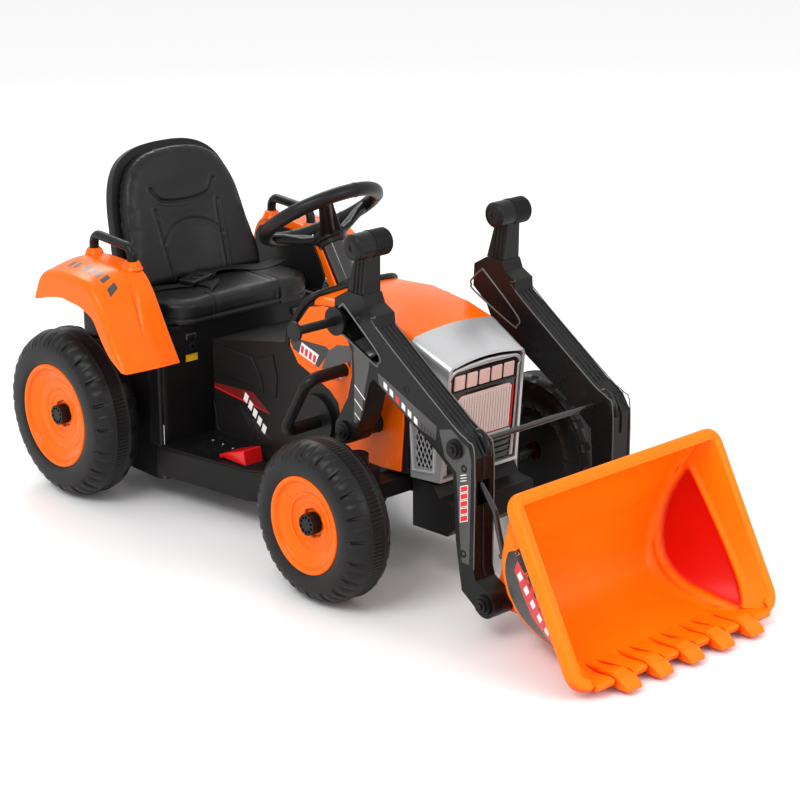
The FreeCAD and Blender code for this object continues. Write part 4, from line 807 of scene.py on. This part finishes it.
def fender(side):
    """Mudguard: flat inner shelf, sloping outer top, rolled corner and skirt, with a grooved front."""
    s = SIDES[side]
    top = np.array(smooth_line(FENDER_TOP, 7))
    low = np.array(smooth_line(FENDER_LOW, 7))
    flat = [209.5, 215, 222, 229] + list(range(232, 270, 2)) + [275, 282, 289, 296, 302, 308]
    rows = []
    for (cx, cz), (lx, lz) in zip(top, low):
        run = np.array([lx - cx, lz - cz])
        size = max(np.linalg.norm(run), 3.0)
        run = run / size
        f = min(1.0, size * 0.6 / 25)
        front = np.clip((cx - 128) / 20, 0, 1)
        fall = np.clip((437 - cz) / 88, 0, 1)
        row = [(205.6, min(18, size)), (205.6, 5 * f), (206.4, 1.6 * f)]
        for y in flat:
            depth = 13 * f * max(0, (y - 245) / 63) ** 1.5
            groove = bump((y - 247 - 16 * fall) / (11 * (1 - fall) + 0.5),
                          1.0) * (cz < 440) * (1 - fall ** 4)
            ridge = bump(y - 292 - 20 * front, 9) * front
            row.append((y, depth + 4.5 * groove * front - 1.5 * ridge))
        row += [(308 + 17 * math.sin(a), f * (13 + 12 * (1 - math.cos(a))))
                for a in np.linspace(0.3, math.pi / 2, 6)]
        row += [(325, 25 * f + (size - 25 * f) * q) for q in np.linspace(0.1, 1, 7)]
        rows += [at(cx + run[0] * d, s * y, cz + run[1] * d) for y, d in row]
    obj = object_from(f"fender_{side}_shell", rows, grid_faces(len(top), len(row)))
    crown = max(obj.data.polygons, key=lambda p: p.center.z)
    if crown.normal.z < 0:
        obj.data.flip_normals()
    thicken(obj, 0.003)
    applied(obj)
    finish_piece(obj, "chassis", "orange", [f"fender_{side}"], 40)
    liner = [(-48, 345), (-48, 425), (-34, 442), (-10, 450), (60, 453), (112, 447), (138, 434),
             (158, 402), (172, 372), (160, 345)]
    y0, y1 = sorted((s * 201.5, s * 205.8))
    prism(f"fender_{side}_liner", liner, y0, y1, "chassis", "black", 0.0015)
    boss = [(9.2, 12), (10.5, 13), (13.5, 11.5), (16, 6), (18, 1), (20, -2)]
    for spot, x, z in (("rear", -12, 463), ("front", 112, 460)):
        lathe(f"fender_{side}_{spot}_seat", boss, at(x, s * 218, z), (0, 0, 1), "chassis", "orange")
    marks = [(6, 60), (24, 40), (52, 60), (72, 44), (92, 60), (112, 40), (134, 50)]
    for i, (x, size) in enumerate(marks):
        bar = [(x, 276), (x + 4, 296), (x + 15, 296), (x + 11, 276)]
        sticker(f"fender_{side}_mark_{i}", obj, bar, lambda u, v: at(u, s * v, 560), (0, 0, -1),
                "decal_grey", "chassis", 0.3)


def seam_depth(points, y, h, width, depth):
    """How far a sewn seam along the points pulls each (y, h) in."""
    best = np.full(y.shape, 1e9)
    pts = np.array(smooth_line(points, 8))
    for (y0, h0), (y1, h1) in zip(pts, pts[1:]):
        dy, dh = y1 - y0, h1 - h0
        t = np.clip(((y - y0) * dy + (h - h0) * dh) / (dy * dy + dh * dh), 0, 1)
        best = np.minimum(best, np.hypot(y - y0 - t * dy, h - h0 - t * dh))
    return depth * bump(best, width) - 0.35 * depth * bump(best - width * 1.6, width)


def swollen(node, cap, back):
    """A pad's own shape remeshed and puffed by a pressurised cloth; faces towards back stay put."""
    obj = linked(bpy.data.objects.new(node + "_cushion", NODES[node].data.copy()))
    remesh = obj.modifiers.new("voxels", "REMESH")
    remesh.mode = "VOXEL"
    remesh.voxel_size = 0.005
    applied(obj)
    mesh = obj.data
    count = len(mesh.vertices)
    before = np.empty(count * 3)
    mesh.vertices.foreach_get("co", before)
    before = before.reshape(-1, 3)
    normals = np.array([v.normal[:] for v in mesh.vertices])
    cloth = obj.modifiers.new("cloth", "CLOTH")
    cloth.settings.use_pressure = True
    cloth.settings.uniform_pressure_force = 4
    cloth.settings.effector_weights.gravity = 0
    cloth.settings.tension_stiffness = 30
    cloth.settings.compression_stiffness = 30
    cloth.settings.bending_stiffness = 2
    scene = bpy.context.scene
    for number in range(1, 21):
        scene.frame_set(number)
    graph = bpy.context.evaluated_depsgraph_get()
    soft = obj.evaluated_get(graph).to_mesh()
    after = np.empty(count * 3)
    soft.vertices.foreach_get("co", after)
    after = after.reshape(-1, 3)
    obj.modifiers.clear()
    scene.frame_set(1)
    move = after - before
    size = np.linalg.norm(move, axis=1, keepdims=True)
    move *= np.minimum(1, cap / np.maximum(size, 1e-9))
    held = np.clip((normals @ np.array(back) - 0.2) / 0.5, 0, 1)[:, None]
    before = before + move * (1 - held)
    mesh.vertices.foreach_set("co", before.ravel())
    bm = bmesh.new()
    bm.from_mesh(mesh)
    for _ in range(3):
        bmesh.ops.smooth_vert(bm, verts=bm.verts, factor=0.5, use_axis_x=True, use_axis_y=True,
                              use_axis_z=True)
    bmesh.ops.subdivide_edges(bm, edges=bm.edges, cuts=1, use_grid_fill=True, smooth=0.3)
    bm.to_mesh(mesh)
    bm.free()
    mesh.update()
    return obj


def shifted(obj, shift):
    """Moves each vertex along its normal by shift(x, y, z, normals) in millimetres."""
    mesh = obj.data
    count = len(mesh.vertices)
    flat = np.empty(count * 3)
    mesh.vertices.foreach_get("co", flat)
    co = flat.reshape(-1, 3)
    normals = np.array([v.normal[:] for v in mesh.vertices])
    x, y, z = (co[:, 0] - AXLE_X) * 1000, co[:, 1] * 1000, co[:, 2] * 1000
    co = co + normals * (shift(x, y, z, normals) / 1000)[:, None]
    mesh.vertices.foreach_set("co", co.ravel())
    mesh.update()


def seat():
    """Back and base cushions with sewn seams; the moulded tub with a rolled edge that they sit in is
    not made here.
    """
    lean = math.radians(19)
    along = np.array([-math.sin(lean), math.cos(lean)])
    back = swollen("seat_back_pad", 0.005, (-math.cos(lean), 0, -math.sin(lean)))
    smile = [(-76, 192), (-66, 176), (-50, 165), (0, 160), (50, 165), (66, 176), (76, 192)]
    arch = [(-70, 84), (-50, 106), (-24, 118), (0, 121), (24, 118), (50, 106), (70, 84)]

    def back_shift(x, y, z, normals):
        h = (x - 13.5) * along[0] + (z - 372) * along[1]
        face = np.clip(normals[:, 0] * 3 - 0.6, 0, 1)
        pull = seam_depth(smile, y, h, 4.5, 3.4)
        for side in (-1, 1):
            line = [(side * 76, 150), (side * 73, 130), (side * 70, 80), (side * 66, 14)]
            pull += seam_depth(line, y, h, 4, 3.0)
        pull += seam_depth(arch, y, h, 5, 1.3)
        pull += 5.0 * bump(y, 62) * plateau(h, 20, 150, 40)
        pull -= 2.5 * bump(y, 95) * plateau(h, 178, 250, 40)
        return -pull * face

    shifted(back, back_shift)
    finish_piece(back, "chassis", "leather", ["seat_back_pad"], 70)
    base = swollen("seat_base_pad", 0.005, (0, 0, -1))

    def base_shift(x, y, z, normals):
        over = np.clip(normals[:, 2] * 3, 0, 1) + np.clip(normals[:, 0] * 3, 0, 1)
        pull = np.zeros(x.shape)
        for side in (-1, 1):
            pull += 3.0 * bump(y - side * 78, 4) - 1.2 * bump(y - side * 78, 16)
        pull += 2.6 * bump(z - 356, 4) * np.clip(normals[:, 0] * 2 + np.abs(normals[:, 1]), 0, 1)
        return -pull * np.clip(over, 0, 1) * plateau(x, 62, 400, 10)

    shifted(base, base_shift)
    finish_piece(base, "chassis", "leather", ["seat_base_pad"], 70)


def ribbon(name, path, widths):
    """Flat webbing along a run of points; widths point across it, in millimetres."""
    line = np.array(smooth_line(path, 6))
    across = np.array(smooth_line(widths, 6))
    verts = []
    for p, w in zip(line, across):
        for q in np.linspace(-1, 1, 7):
            verts.append(at(*(p + w * q)))
    obj = object_from(name, verts, grid_faces(len(line), 7))
    thicken(obj, 0.0016, 0)
    bevel(obj, 0.0004, 2, 50)
    applied(obj)
    return finish_piece(obj, "chassis", "webbing", sharp=50)


def belt():
    """Lap belt laid across the cushion, with its side-release buckle and a loose end."""
    z = 391  # top of the cushion
    left = ribbon("lap_belt_left_web",
                  [(58, 180, z + 2), (70, 140, z + 1), (72, 95, z + 4), (50, 50, z + 6),
                   (44, 14, z + 5), (64, -12, z + 5)],
                  [(19, 3, 2), (20, 4, 1), (20, 4, -2), (20, 2, 2), (18, 6, 3), (16, 10, 0)])
    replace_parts(left, "lap_belt_left")
    right = ribbon("lap_belt_right_web",
                   [(92, -84, z + 5), (76, -112, z + 4), (62, -140, z + 2), (56, -172, z + 3)],
                   [(16, 8, 0), (18, 8, 1), (19, 4, 1), (19, 2, -2)])
    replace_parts(right, "lap_belt_right")
    ribbon("lap_belt_tail",
           [(96, -60, z + 4), (118, -40, z + 8), (140, -52, z + 3), (138, -84, z + 1),
            (112, -112, z + 2)],
           [(10, 14, 2), (2, 16, 4), (-10, 12, 0), (-12, -8, 0), (-12, -12, 0)])
    heading = Vector((0.32, -0.95, 0)).normalized()
    aside = Vector((0.95, 0.32, 0)).normalized()
    middle = at(80, -48, z + 9)

    def piece(name, run, side, low, high, edge):
        bm = bmesh.new()
        bmesh.ops.create_cube(bm, size=1)
        for v in bm.verts:
            v.co = (middle + heading * (run[0] + (run[1] - run[0]) * (v.co.x + 0.5)) / 1000
                    + aside * (side[0] + (side[1] - side[0]) * (v.co.y + 0.5)) / 1000
                    + Vector((0, 0, (low + (high - low) * (v.co.z + 0.5)) / 1000)))
        obj = object_from_bmesh(name, bm)
        bevel(obj, edge / 1000, 3, 30)
        applied(obj)
        return finish_piece(obj, "chassis", "buckle", sharp=40)

    body = piece("buckle_body", (-34, 8), (-19, 19), -6, 6, 3)
    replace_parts(body, "belt_buckle")
    piece("buckle_tongue", (12, 34), (-18, 18), -5, 5, 3)
    for i, side in enumerate(((-19, -11), (11, 19))):
        piece(f"buckle_prong_{i}", (6, 16), side, -4, 4, 2)
    piece("buckle_middle", (4, 14), (-5, 5), -3, 3, 1.5)
    for i in range(3):
        piece(f"buckle_rib_{i}", (-28 + 6 * i, -25 + 6 * i), (-15, 15), 5, 7, 1)


# ---------------------------------------------------------------- nose and dash

RAKE = 0.0893  # how far the face leans forward for each millimetre up
LAMP_PITCH = 29.5  # millimetres between the lamps


def face_at(y, z, out=0.0):
    """A point on the raked face of the nose; out is millimetres forward of it."""
    return at(822 + (z - 180) * RAKE + out, y, z)


def face_block(name, points, out0, out1, material):
    """A block on the face with full round edges: a (y, z) outline from out0 to out1."""
    obj = loft(name, [[face_at(y, z, out) for y, z in points] for out in (out0, out1)], FULL)
    return finish_piece(obj, body_of("grille"), material)


def box_outline(y0, y1, z0, z1):
    """Corners of a rectangle on the face."""
    return [(y0, z0), (y1, z0), (y1, z1), (y0, z1)]


def nose():
    """Grille, lamp row, ribbed lens, louvres and the meshes of the side vents."""
    body = body_of("grille")
    plate = face_block("face_plate", box_outline(-83, 83, 203, 398), -12, -7, "gloss_black")
    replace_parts(plate, "grille")
    brow = [(-84.5, 378), (-85.5, 390), (-81, 396), (-72, 399.5), (-40, 403.5), (0, 405.5)]
    under = [(0, 395.5), (-68, 394), (-76, 390.5), (-80, 385)]
    brow += [(-y, z) for y, z in brow[-2::-1]] + [(-y, z) for y, z in under[:0:-1]] + under
    face_block("face_brow", brow, -7.5, -1.2, "silver")
    for s in SIDES.values():
        strip = [(s * 84, 382), (s * 79.5, 378), (s * 79.5, 262), (s * 76, 205), (s * 84, 205)]
        face_block("face_side_%d" % (s > 0), strip, -7.2, -2.5, "silver")
    face_block("lamp_sill", box_outline(-78, 78, 352, 357), -7, -3, "gloss_black")
    for i in range(-2, 3):
        y = i * LAMP_PITCH
        cell = box_outline(y - 12.5, y + 12.5, 359, 386)
        edge = box_outline(y - 14.2, y + 14.2, 357, 388)
        face_block("lamp_%d" % (i + 3), cell, -8, -3.4, "pink_lens")
        face_block("lamp_frame_%d" % (i + 3), edge, -7.5, -5.6, "gloss_black")
    outline = [(-60, 262), (-71, 300), (-66, 332), (-52, 346), (64, 346), (70, 340), (70, 262)]
    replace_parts(face_block("lens_base", outline, -8, -4.6, "pink_lens"), "lamp_lens")
    for i in range(21):
        y = -62.5 + i * 6.4
        low, high = 265 + max(0, -y - 58) * 3, 342 - max(0, -y - 48) * 0.9
        face_block("lens_rib_%02d" % i, box_outline(y - 2.2, y + 2.2, low, high), -5, -2.8, "lens")
    face_block("lens_foot", box_outline(-64, 72, 255, 261), -7.5, -1.8, "silver")
    face_block("lens_edge", box_outline(71, 73, 264, 342), -7.5, -2.5, "red")
    for row in range(4):
        z = 211 + row * 11
        for y0, y1 in ((-76, -8), (8, 76)):
            slat = box_outline(y0, y1, z, z + 6)
            face_block("louvre_%d_%d" % (row, y0 > 0), slat, -8, -4.5, "gloss_black")
    face_block("louvre_post", box_outline(-7, 7, 207, 250), -8, -3.4, "gloss_black")
    for s in SIDES.values():
        side_vent(body, s)


def side_vent(body, s):
    """Edge strips, crossed wires and, as painted shade, a near-black sheet inside the opening on one
    side of the nose.
    """
    rim = [(762, 206), (808, 211), (812, 288), (757, 292)]
    inner = [(768, 214), (802, 218), (805, 281), (764, 284)]

    def on_flank(x, z, out):
        return at(x, s * (102 - (x - 757) * 0.125) + s * out, z)

    for i, corner in enumerate(rim):
        path = [on_flank(x, z, 0.5) for x, z in (corner, rim[(i + 1) % len(rim)])]
        tube("vent_edge_%d_%d" % (i, s > 0), path, 0.0026, body, "silver", 12)
    for k in range(-4, 9):
        for lean in (1, -1):
            points = []
            for step in range(25):
                z = 212 + step * 3.2
                x = 766 + k * 9 + lean * (z - 248) * 0.45
                if 764 + (z < 230) * 2 <= x <= 805:
                    points.append(on_flank(x, z, -1.5))
            if len(points) > 1:
                name = "vent_mesh_%d_%d_%d" % (k + 4, lean > 0, s > 0)
                tube(name, [points[0], points[-1]], 0.0011, body, "silver", 8)
    # Painted shade: a near-black sheet set inside the opening for its shaded inside.
    corners = [on_flank(x, z, -4.5) for x, z in inner]
    dark = object_from("vent_shade_sheet_%d" % (s > 0), corners, [(0, 1, 2, 3)])
    thicken(dark, 0.0012, 0)
    finish_piece(dark, body, "dark")


def dash_rim():
    """The raised roll round the dash's hood opening."""
    side = [(437, 110, 362), (446, 112, 392), (462, 112, 418), (482, 108, 446), (497, 94, 463),
            (508, 60, 470), (513, 0, 473)]
    line = [(x, -y, z) for x, y, z in side] + [(x, y, z) for x, y, z in side[-2::-1]]
    path = smooth_line([at(*p) for p in line], 6)
    tube("dash_rim", path, 0.0065, body_of("centre_body"), "black", 16)


# ---------------------------------------------------------------- arms, handles and steering wheel

def boom_ribs(name, s):
    """Long ribs along the boom's top and the seam down the drop leg."""
    body = body_of("arm_" + name)
    mid, face = s * ARM_Y, s * 187.6
    line = [(758, 492), (764, 478.5), (948, 357.5), (984, 338.5)]
    for k, off in enumerate((-15, -5, 5, 15)):
        path = smooth_line([at(x, mid + off, z) for x, z in line], 5)
        tube("boom_rib_%s_%d" % (name, k), path, 0.0021, body, "arm", 10)
    bend = [(985, 338), (1002, 313), (1003.4, 290), (1003.4, 274)]
    leg = smooth_line([at(x, mid, z) for x, z in bend], 4)
    tube("leg_rib_top_" + name, leg, 0.0026, body, "arm", 10)
    leg = [at(1003.4, mid, 226), at(1003.4, mid, 121), at(1009, mid, 103)]
    tube("leg_rib_low_" + name, leg, 0.0026, body, "arm", 10)
    # Painted highlight: pale lines along both top edges of the arm, where light catches them.
    line = [(762.6, 500), (765.4, 480.4), (948.8, 359.2), (985.6, 340.2), (1003.6, 312), (1003.6, 118)]
    for off in (-21.7, 21.7):
        path = smooth_line([at(x, mid + off, z) for x, z in line], 4)
        tube("arm_edge_%s_%d" % (name, off > 0), path, 0.0011, body, "painted_edge_highlight", 8)
    block = [(950, 318), (957, 343), (975, 352), (992, 344), (1004, 326), (1006, 300), (985, 304)]
    prism("elbow_saddle_" + name, block, s * 141.8, s * 160, body, "arm", FULL)
    # Painted highlight: a pale ring round each slot's rim.
    for tag, side_face in (("outer", face), ("inner", s * 142.4)):
        if name == "left" and tag == "outer":
            continue
        slot = [(652, 472), (661, 460.5), (757, 418), (770, 420), (771, 437), (691, 499), (678, 503),
                (652, 479)]
        path = smooth_line([at(x, side_face, z) for x, z in slot + slot[:1]], 5)[:-1]
        tube("slot_border_%s_%s" % (tag, name), path, 0.0018, body, "painted_edge_highlight", 10, True)
    for k, (x, z) in enumerate(((720, 486), (840, 392), (980, 290), (980, 140))):
        ring = [(3.1, -1), (3.1, 0.5), (4, 1.1), (6.2, 1.1), (7, 0), (7, -1)]
        lathe("arm_hole_%s_%d" % (name, k), ring, at(x, face, z), (0, s, 0), body, "arm", 24)
    for k in range(3):
        x = 700 + k * 10
        rib = [(x, 529), (x + 4, 529), (x + 3.2, 536), (x + 0.8, 536)]
        prism("handle_foot_rib_%s_%d" % (name, k), rib, mid - 20.5, mid + 20.5, body, "arm", FULL)


def side_film(name, target, points, material, body, lift, s, reach):
    """A film laid onto a flank from reach millimetres out at side s; points are (x, z)."""
    outline = [(x / 1000, z / 1000) for x, z in points]
    sticker(name, target, outline, lambda u, v: at(u * 1000, s * reach, v * 1000), (0, -s, 0), material,
            body, lift, 0.012)


def arm_decals(name, s):
    """Plain coloured films on the outer face of the arm."""
    target = bpy.data.objects["arm_%s_shell" % name]
    body = body_of("arm_" + name)

    def film(tag, points, material, lift):
        side_film("%s_%s" % (tag, name), target, points, material, body, lift, s, 230)

    film("lug_film", [(703, 455), (716, 462), (748, 424), (746, 404), (737, 372), (722, 300),
                      (706, 300), (709, 384), (707, 430)], "decal_grey", 0.15)
    for k in range(3):
        z = 366 - k * 25
        line = [(709, z), (736, z - 20), (736, z - 17), (709, z + 3)]
        film("lug_line_%d" % k, line, "decal_white", 0.25)
    film("boom_film", [(772, 384), (769, 404), (787, 398), (915, 346), (912, 321), (866, 333)],
         "decal_grey", 0.35)
    for k in range(6):
        x, z = 784 + k * 15, 388 - k * 8.4
        material = "decal_red" if k == 2 else "decal_white"
        film("boom_block_%d" % k, [(x, z - 6), (x + 9, z - 11), (x + 9, z), (x, z + 5)], material, 0.6)
    for k in range(5):
        x, z = 878 + k * 7, 337 - k * 3
        film("boom_tick_%d" % k, [(x, z - 4), (x + 2, z - 5), (x + 2, z + 5), (x, z + 6)],
             "decal_black", 0.6)
    film("leg_film", [(920, 342), (949, 350), (990, 328), (997, 308), (994, 124), (976, 124),
                      (968, 200), (962, 278), (934, 298)], "decal_grey", 0.35)
    for k in range(5):
        z = 256 - k * 13
        film("leg_back_%d" % k, [(971, z + 1), (990, z + 9), (990, z - 3), (971, z - 11)],
             "decal_white", 0.5)
        film("leg_block_%d" % k, [(972.5, z), (988.5, z + 7), (988.5, z - 2), (972.5, z - 9)],
             "decal_red", 0.7)
    for k in range(3):
        z = 277 - k * 5
        tick = [(972, z), (986, z + 5), (986, z + 3.4), (972, z - 1.6)]
        film("leg_tick_%d" % k, tick, "decal_white", 0.6)


def grip_details(name, s):
    """The round two-part hand grip: end caps, middle seam and the ridged half."""
    body = body_of("handle_" + name)
    mid = s * ARM_Y
    for k in range(11):
        y = mid + 4 + k * 2.9
        lathe("grip_ridge_%s_%d" % (name, k), [(22, -1), (23.6, -0.6), (23.6, 0.6), (22, 1)],
              at(722, y, 614), (0, 1, 0), body, "grip")
    lathe("grip_seam_" + name, [(22, -1.2), (24.2, -0.9), (24.2, 0.9), (22, 1.2)],
          at(722, mid, 614), (0, 1, 0), body, "grip")
    for end in (-1, 1):
        ring = [(5, 0.2), (5, 1.6), (9, 2.2), (18, 1.6), (20, 0), (20, -2)]
        lathe("grip_end_%s_%d" % (name, end > 0), ring, at(722, mid + end * 37.5, 614), (0, end, 0),
              body, "grip", 40)
    for k, x in enumerate((703, 712, 721)):
        for end in (-1, 1):
            path = [at(x + 1, mid + end * 19.5, 533), at(x + 4, mid + end * 14.6, 592)]
            tube("post_rib_%s_%d_%d" % (name, k, end > 0), path, 0.0017, body, "grip", 8)


def steering_details():
    """Flat spokes, centre pad, screws and the grip's seams."""
    body = body_of("steering_wheel")
    tilt = math.radians(34)
    down = Vector((math.sin(tilt), 0, -math.cos(tilt)))
    across = Vector((-math.cos(tilt), 0, -math.sin(tilt)))
    side = Vector((0, 1, 0))
    ring = at(403, 0, 579)
    hub = ring + down * 0.046

    def directions(turn):
        """Out from the hub and across, at turn degrees round it."""
        angle = math.radians(turn)
        return (side * math.sin(angle) - across * math.cos(angle),
                side * math.cos(angle) + across * math.sin(angle))

    section = ((-1, -0.004), (1, -0.004), (1, 0.005), (0.6, 0.009), (-0.6, 0.009), (-1, 0.005))
    rows = [(0.012, 0.0, 0.022), (0.045, 0.012, 0.018), (0.078, 0.034, 0.014), (0.1, 0.044, 0.012)]
    for k, turn in enumerate((90, 210, 330)):
        out, wide = directions(turn)
        rings = [[hub + out * reach - down * rise + wide * a * half - down * b for a, b in section]
                 for reach, rise, half in rows]
        finish_piece(loft("wheel_spoke_%d" % k, rings, 0.0022, 30), body, "grip")
        screw("spoke_screw_%d" % k, hub + out * 0.03 - down * 0.0165, -down, 4, body)
    pad = [(0.01, 17), (18, 16.4), (27, 13), (31, 6), (31, -4), (26, -8)]
    lathe("wheel_pad", pad, hub, -down, body, "black")
    lathe("wheel_pad_ring", [(20, 15), (20.5, 17), (22.5, 17), (23, 14.5)], hub, -down, body, "silver")
    for k in range(3):
        out, wide = directions(30 + k * 120)
        for step in (-0.5, 0.5):
            c, w = math.cos(step), math.sin(step)
            spot = ring + (out * c + wide * w) * 0.109
            tangent = (wide * c - out * w).normalized()
            lathe("grip_band_%d_%d" % (k, step > 0), [(12.4, -2), (13.7, -1.4), (13.7, 1.4), (12.4, 2)],
                  spot, tangent, body, "grip", 32)


# ---------------------------------------------------------------- body details

def panel_decals():
    """Films on the orange side panels and on the tunnel's flank."""
    tunnel = bpy.data.objects["centre_body_shell"]
    for name, s in SIDES.items():
        target = bpy.data.objects["side_panel_%s_shell" % name]
        body = body_of("side_panel_" + name)

        def film(tag, points, material, lift, onto=target):
            side_film("%s_%s" % (tag, name), onto, points, material, body, lift, s, 150)

        film("panel_band", [(440, 384), (452, 380), (548, 384), (560, 378), (528, 340), (446, 362)],
             "decal_black", 0.35)
        film("panel_block", [(482, 377), (530, 364), (519, 343), (474, 354)], "decal_white", 0.6)
        for k in range(4):
            x, z = 482 + k * 11.2, 371.5 - k * 3.2
            film("panel_mark_%d" % k, [(x, z), (x + 7, z - 2), (x + 3.4, z - 16), (x - 3.6, z - 14)],
                 "decal_red", 0.85)
        film("panel_shape", [(536, 340), (556, 378), (580, 394), (613, 400), (620, 384), (612, 350),
                             (590, 340), (560, 345)], "decal_grey", 0.5)
        film("panel_flash", [(556, 331), (592, 334), (588, 343), (562, 344)], "decal_white", 0.5)
        film("tunnel_wedge", [(212, 224), (212, 234), (331, 243), (382, 212), (310, 217)],
             "decal_deep_red", 0.4, tunnel)
        film("tunnel_edge", [(212, 224), (310, 217), (382, 212), (310, 220.5), (212, 227)],
             "decal_red", 0.6, tunnel)
        for k in range(5):
            x, z = 306 + k * 13, 229 - k * 12
            film("tunnel_block_%d" % k, [(x - 5, z - 7), (x + 5, z - 13), (x + 12, z + 3),
                                         (x + 1, z + 9)], "decal_white", 0.8, tunnel)
        for k in range(6):
            x = 290 + k * 13
            film("tunnel_line_%d" % k, [(x, 205 - k * 5), (x + 1.2, 206 - k * 5), (x + 30, 172 - k * 2),
                                        (x + 28.8, 171 - k * 2)], "decal_grey", 0.6, tunnel)
        film("panel_flash_red", [(562, 326), (590, 329), (586, 333), (566, 332)], "decal_red", 0.6)


def tunnel_panels():
    """Shallow raised panels pressed into the tunnel's flanks."""
    body = body_of("centre_body")
    for s in SIDES.values():
        lower = [(216, 170), (216, 203), (300, 208), (318, 196), (330, 150), (300, 140), (226, 140)]
        upper = [(216, 256), (216, 312), (330, 312), (352, 286), (364, 250), (340, 256)]
        rear_step = [(372, 250), (360, 288), (342, 312), (392, 330), (404, 290), (400, 250)]
        for k, view in enumerate((upper, rear_step)):
            prism("tunnel_panel_%d_%d" % (k, s > 0), view, s * 109, s * 112.8, body, "black", FULL)
        path = smooth_line([at(x, s * 110.4, z) for x, z in lower + lower[:1]], 4)[:-1]
        tube("tunnel_bead_%d" % (s > 0), path, 0.0016, body, "black", 10, True)


def board_details():
    """Ribs and screws on the foot boards, the seat box's latches and panels, and its plain label."""
    body = body_of("lower_body")
    bead = [(176, 208.5), (300, 187.5), (386, 172.8), (440, 142.5)]
    for s in SIDES.values():
        for k in range(5):
            y = s * (128 + k * 9)
            path = [at(204 + k * 2, y, 117.6), at(290 - k * 5, y, 117.6)]
            tube("board_rib_%d_%d" % (k, s > 0), path, 0.0028, body, "black", 10)
        for k in range(3):
            spot = at(212 + k * 31, s * 118, 118)
            screw("board_screw_%d_%d" % (k, s > 0), spot, (0, 0, 1), 4.2, body)
        latch = [(164, 310), (164, 328), (171, 326), (171, 313)]
        prism("box_latch_%d" % (s > 0), latch, s * 118, s * 142, body, "gloss_black", FULL)
        strip = [(138, 116), (174, 116), (174, 322), (138, 322)]
        prism("corner_strip_%d" % (s > 0), strip, s * 203, s * 213, body, "black", FULL)
        path = [at(x, s * y, 118.2) for x, y in bead]
        tube("board_bead_%d" % (s > 0), path, 0.0018, body, "black", 10)
    for low, high, half in ((96, 300, 158), (112, 284, 142)):
        view = [(-94, low), (-97, low + 2), (-97, high - 2), (-94, high)]
        prism("rear_panel_%d" % half, view, -half, half, body, "black", FULL)
    for k in range(7):
        z = 130 + k * 22
        view = [(-96, z), (-99.5, z + 1), (-99.5, z + 5), (-96, z + 6)]
        prism("rear_rib_%d" % k, view, -120, 120, body, "black", FULL)
    shell = bpy.data.objects["lower_body_shell"]
    label = [(-0.142, 0.270), (-0.114, 0.270), (-0.114, 0.284), (-0.142, 0.284)]
    sticker("plain_label", shell, label, lambda u, v: at(240, u * 1000, v * 1000), (-1, 0, 0),
            "decal_yellow", body, 0.4)


# ---------------------------------------------------------------- assembly

COPIES = {  # CAD node: look, edge radius in metres
    "lower_body": ("black", 0.004), "centre_body": ("black", 0.003), "seat_shell": ("black", 0.004),
    "hood_cover": ("orange", 0.0015), "nose_frame": ("silver", 0.002), "front_bumper": ("black", 0.004),
    "axle_beam": ("black", 0.003), "arm_right": ("arm", 0.002), "arm_left": ("arm", 0.002),
    "handle_right": ("grip", 0.002), "handle_left": ("grip", 0.002), "tilt_peg": ("black", 0.0015),
    "drive_pedal": ("red", 0.002), "dash_panel": ("black", 0.0006),
    "direction_switch": ("black", 0.0006), "power_button": ("red", 0.0008),
    "charging_socket": ("black", 0.0006), "loader_bolts": ("black", 0.001),
    "chassis_bolts": ("black", 0.001), "side_panel_right": ("orange", 0.0015),
    "side_panel_left": ("orange", 0.0015), "steering_wheel": ("grip", 0.001),
}
PLAIN = {  # CAD nodes shown as they are
    "rear_axle": "steel", "steering_shaft": "steel", "steering_column": "rod", "column_collar": "black",
    "knuckle_right": "steel", "knuckle_left": "steel", "tie_rod": "rod", "crossbar": "rod",
    "link_rod": "rod", "battery": "battery", "gearbox_right": "gearbox", "gearbox_left": "gearbox",
    "grab_rail_right": "black", "grab_rail_left": "black", "guard_tube_right": "black",
    "guard_tube_left": "black",
}

camera()
studio()
wheels()
bucket()
for side_name in SIDES:
    fender(side_name)
seat()
belt()
for node, (material, width) in COPIES.items():
    refined(node, material, width)
nose()
dash_rim()
for side_name, sign in SIDES.items():
    boom_ribs(side_name, sign)
    arm_decals(side_name, sign)
    grip_details(side_name, sign)
steering_details()
panel_decals()
tunnel_panels()
board_details()
for node, material in PLAIN.items():
    NODES[node].data.materials.clear()
    NODES[node].data.materials.append(MATS[material])
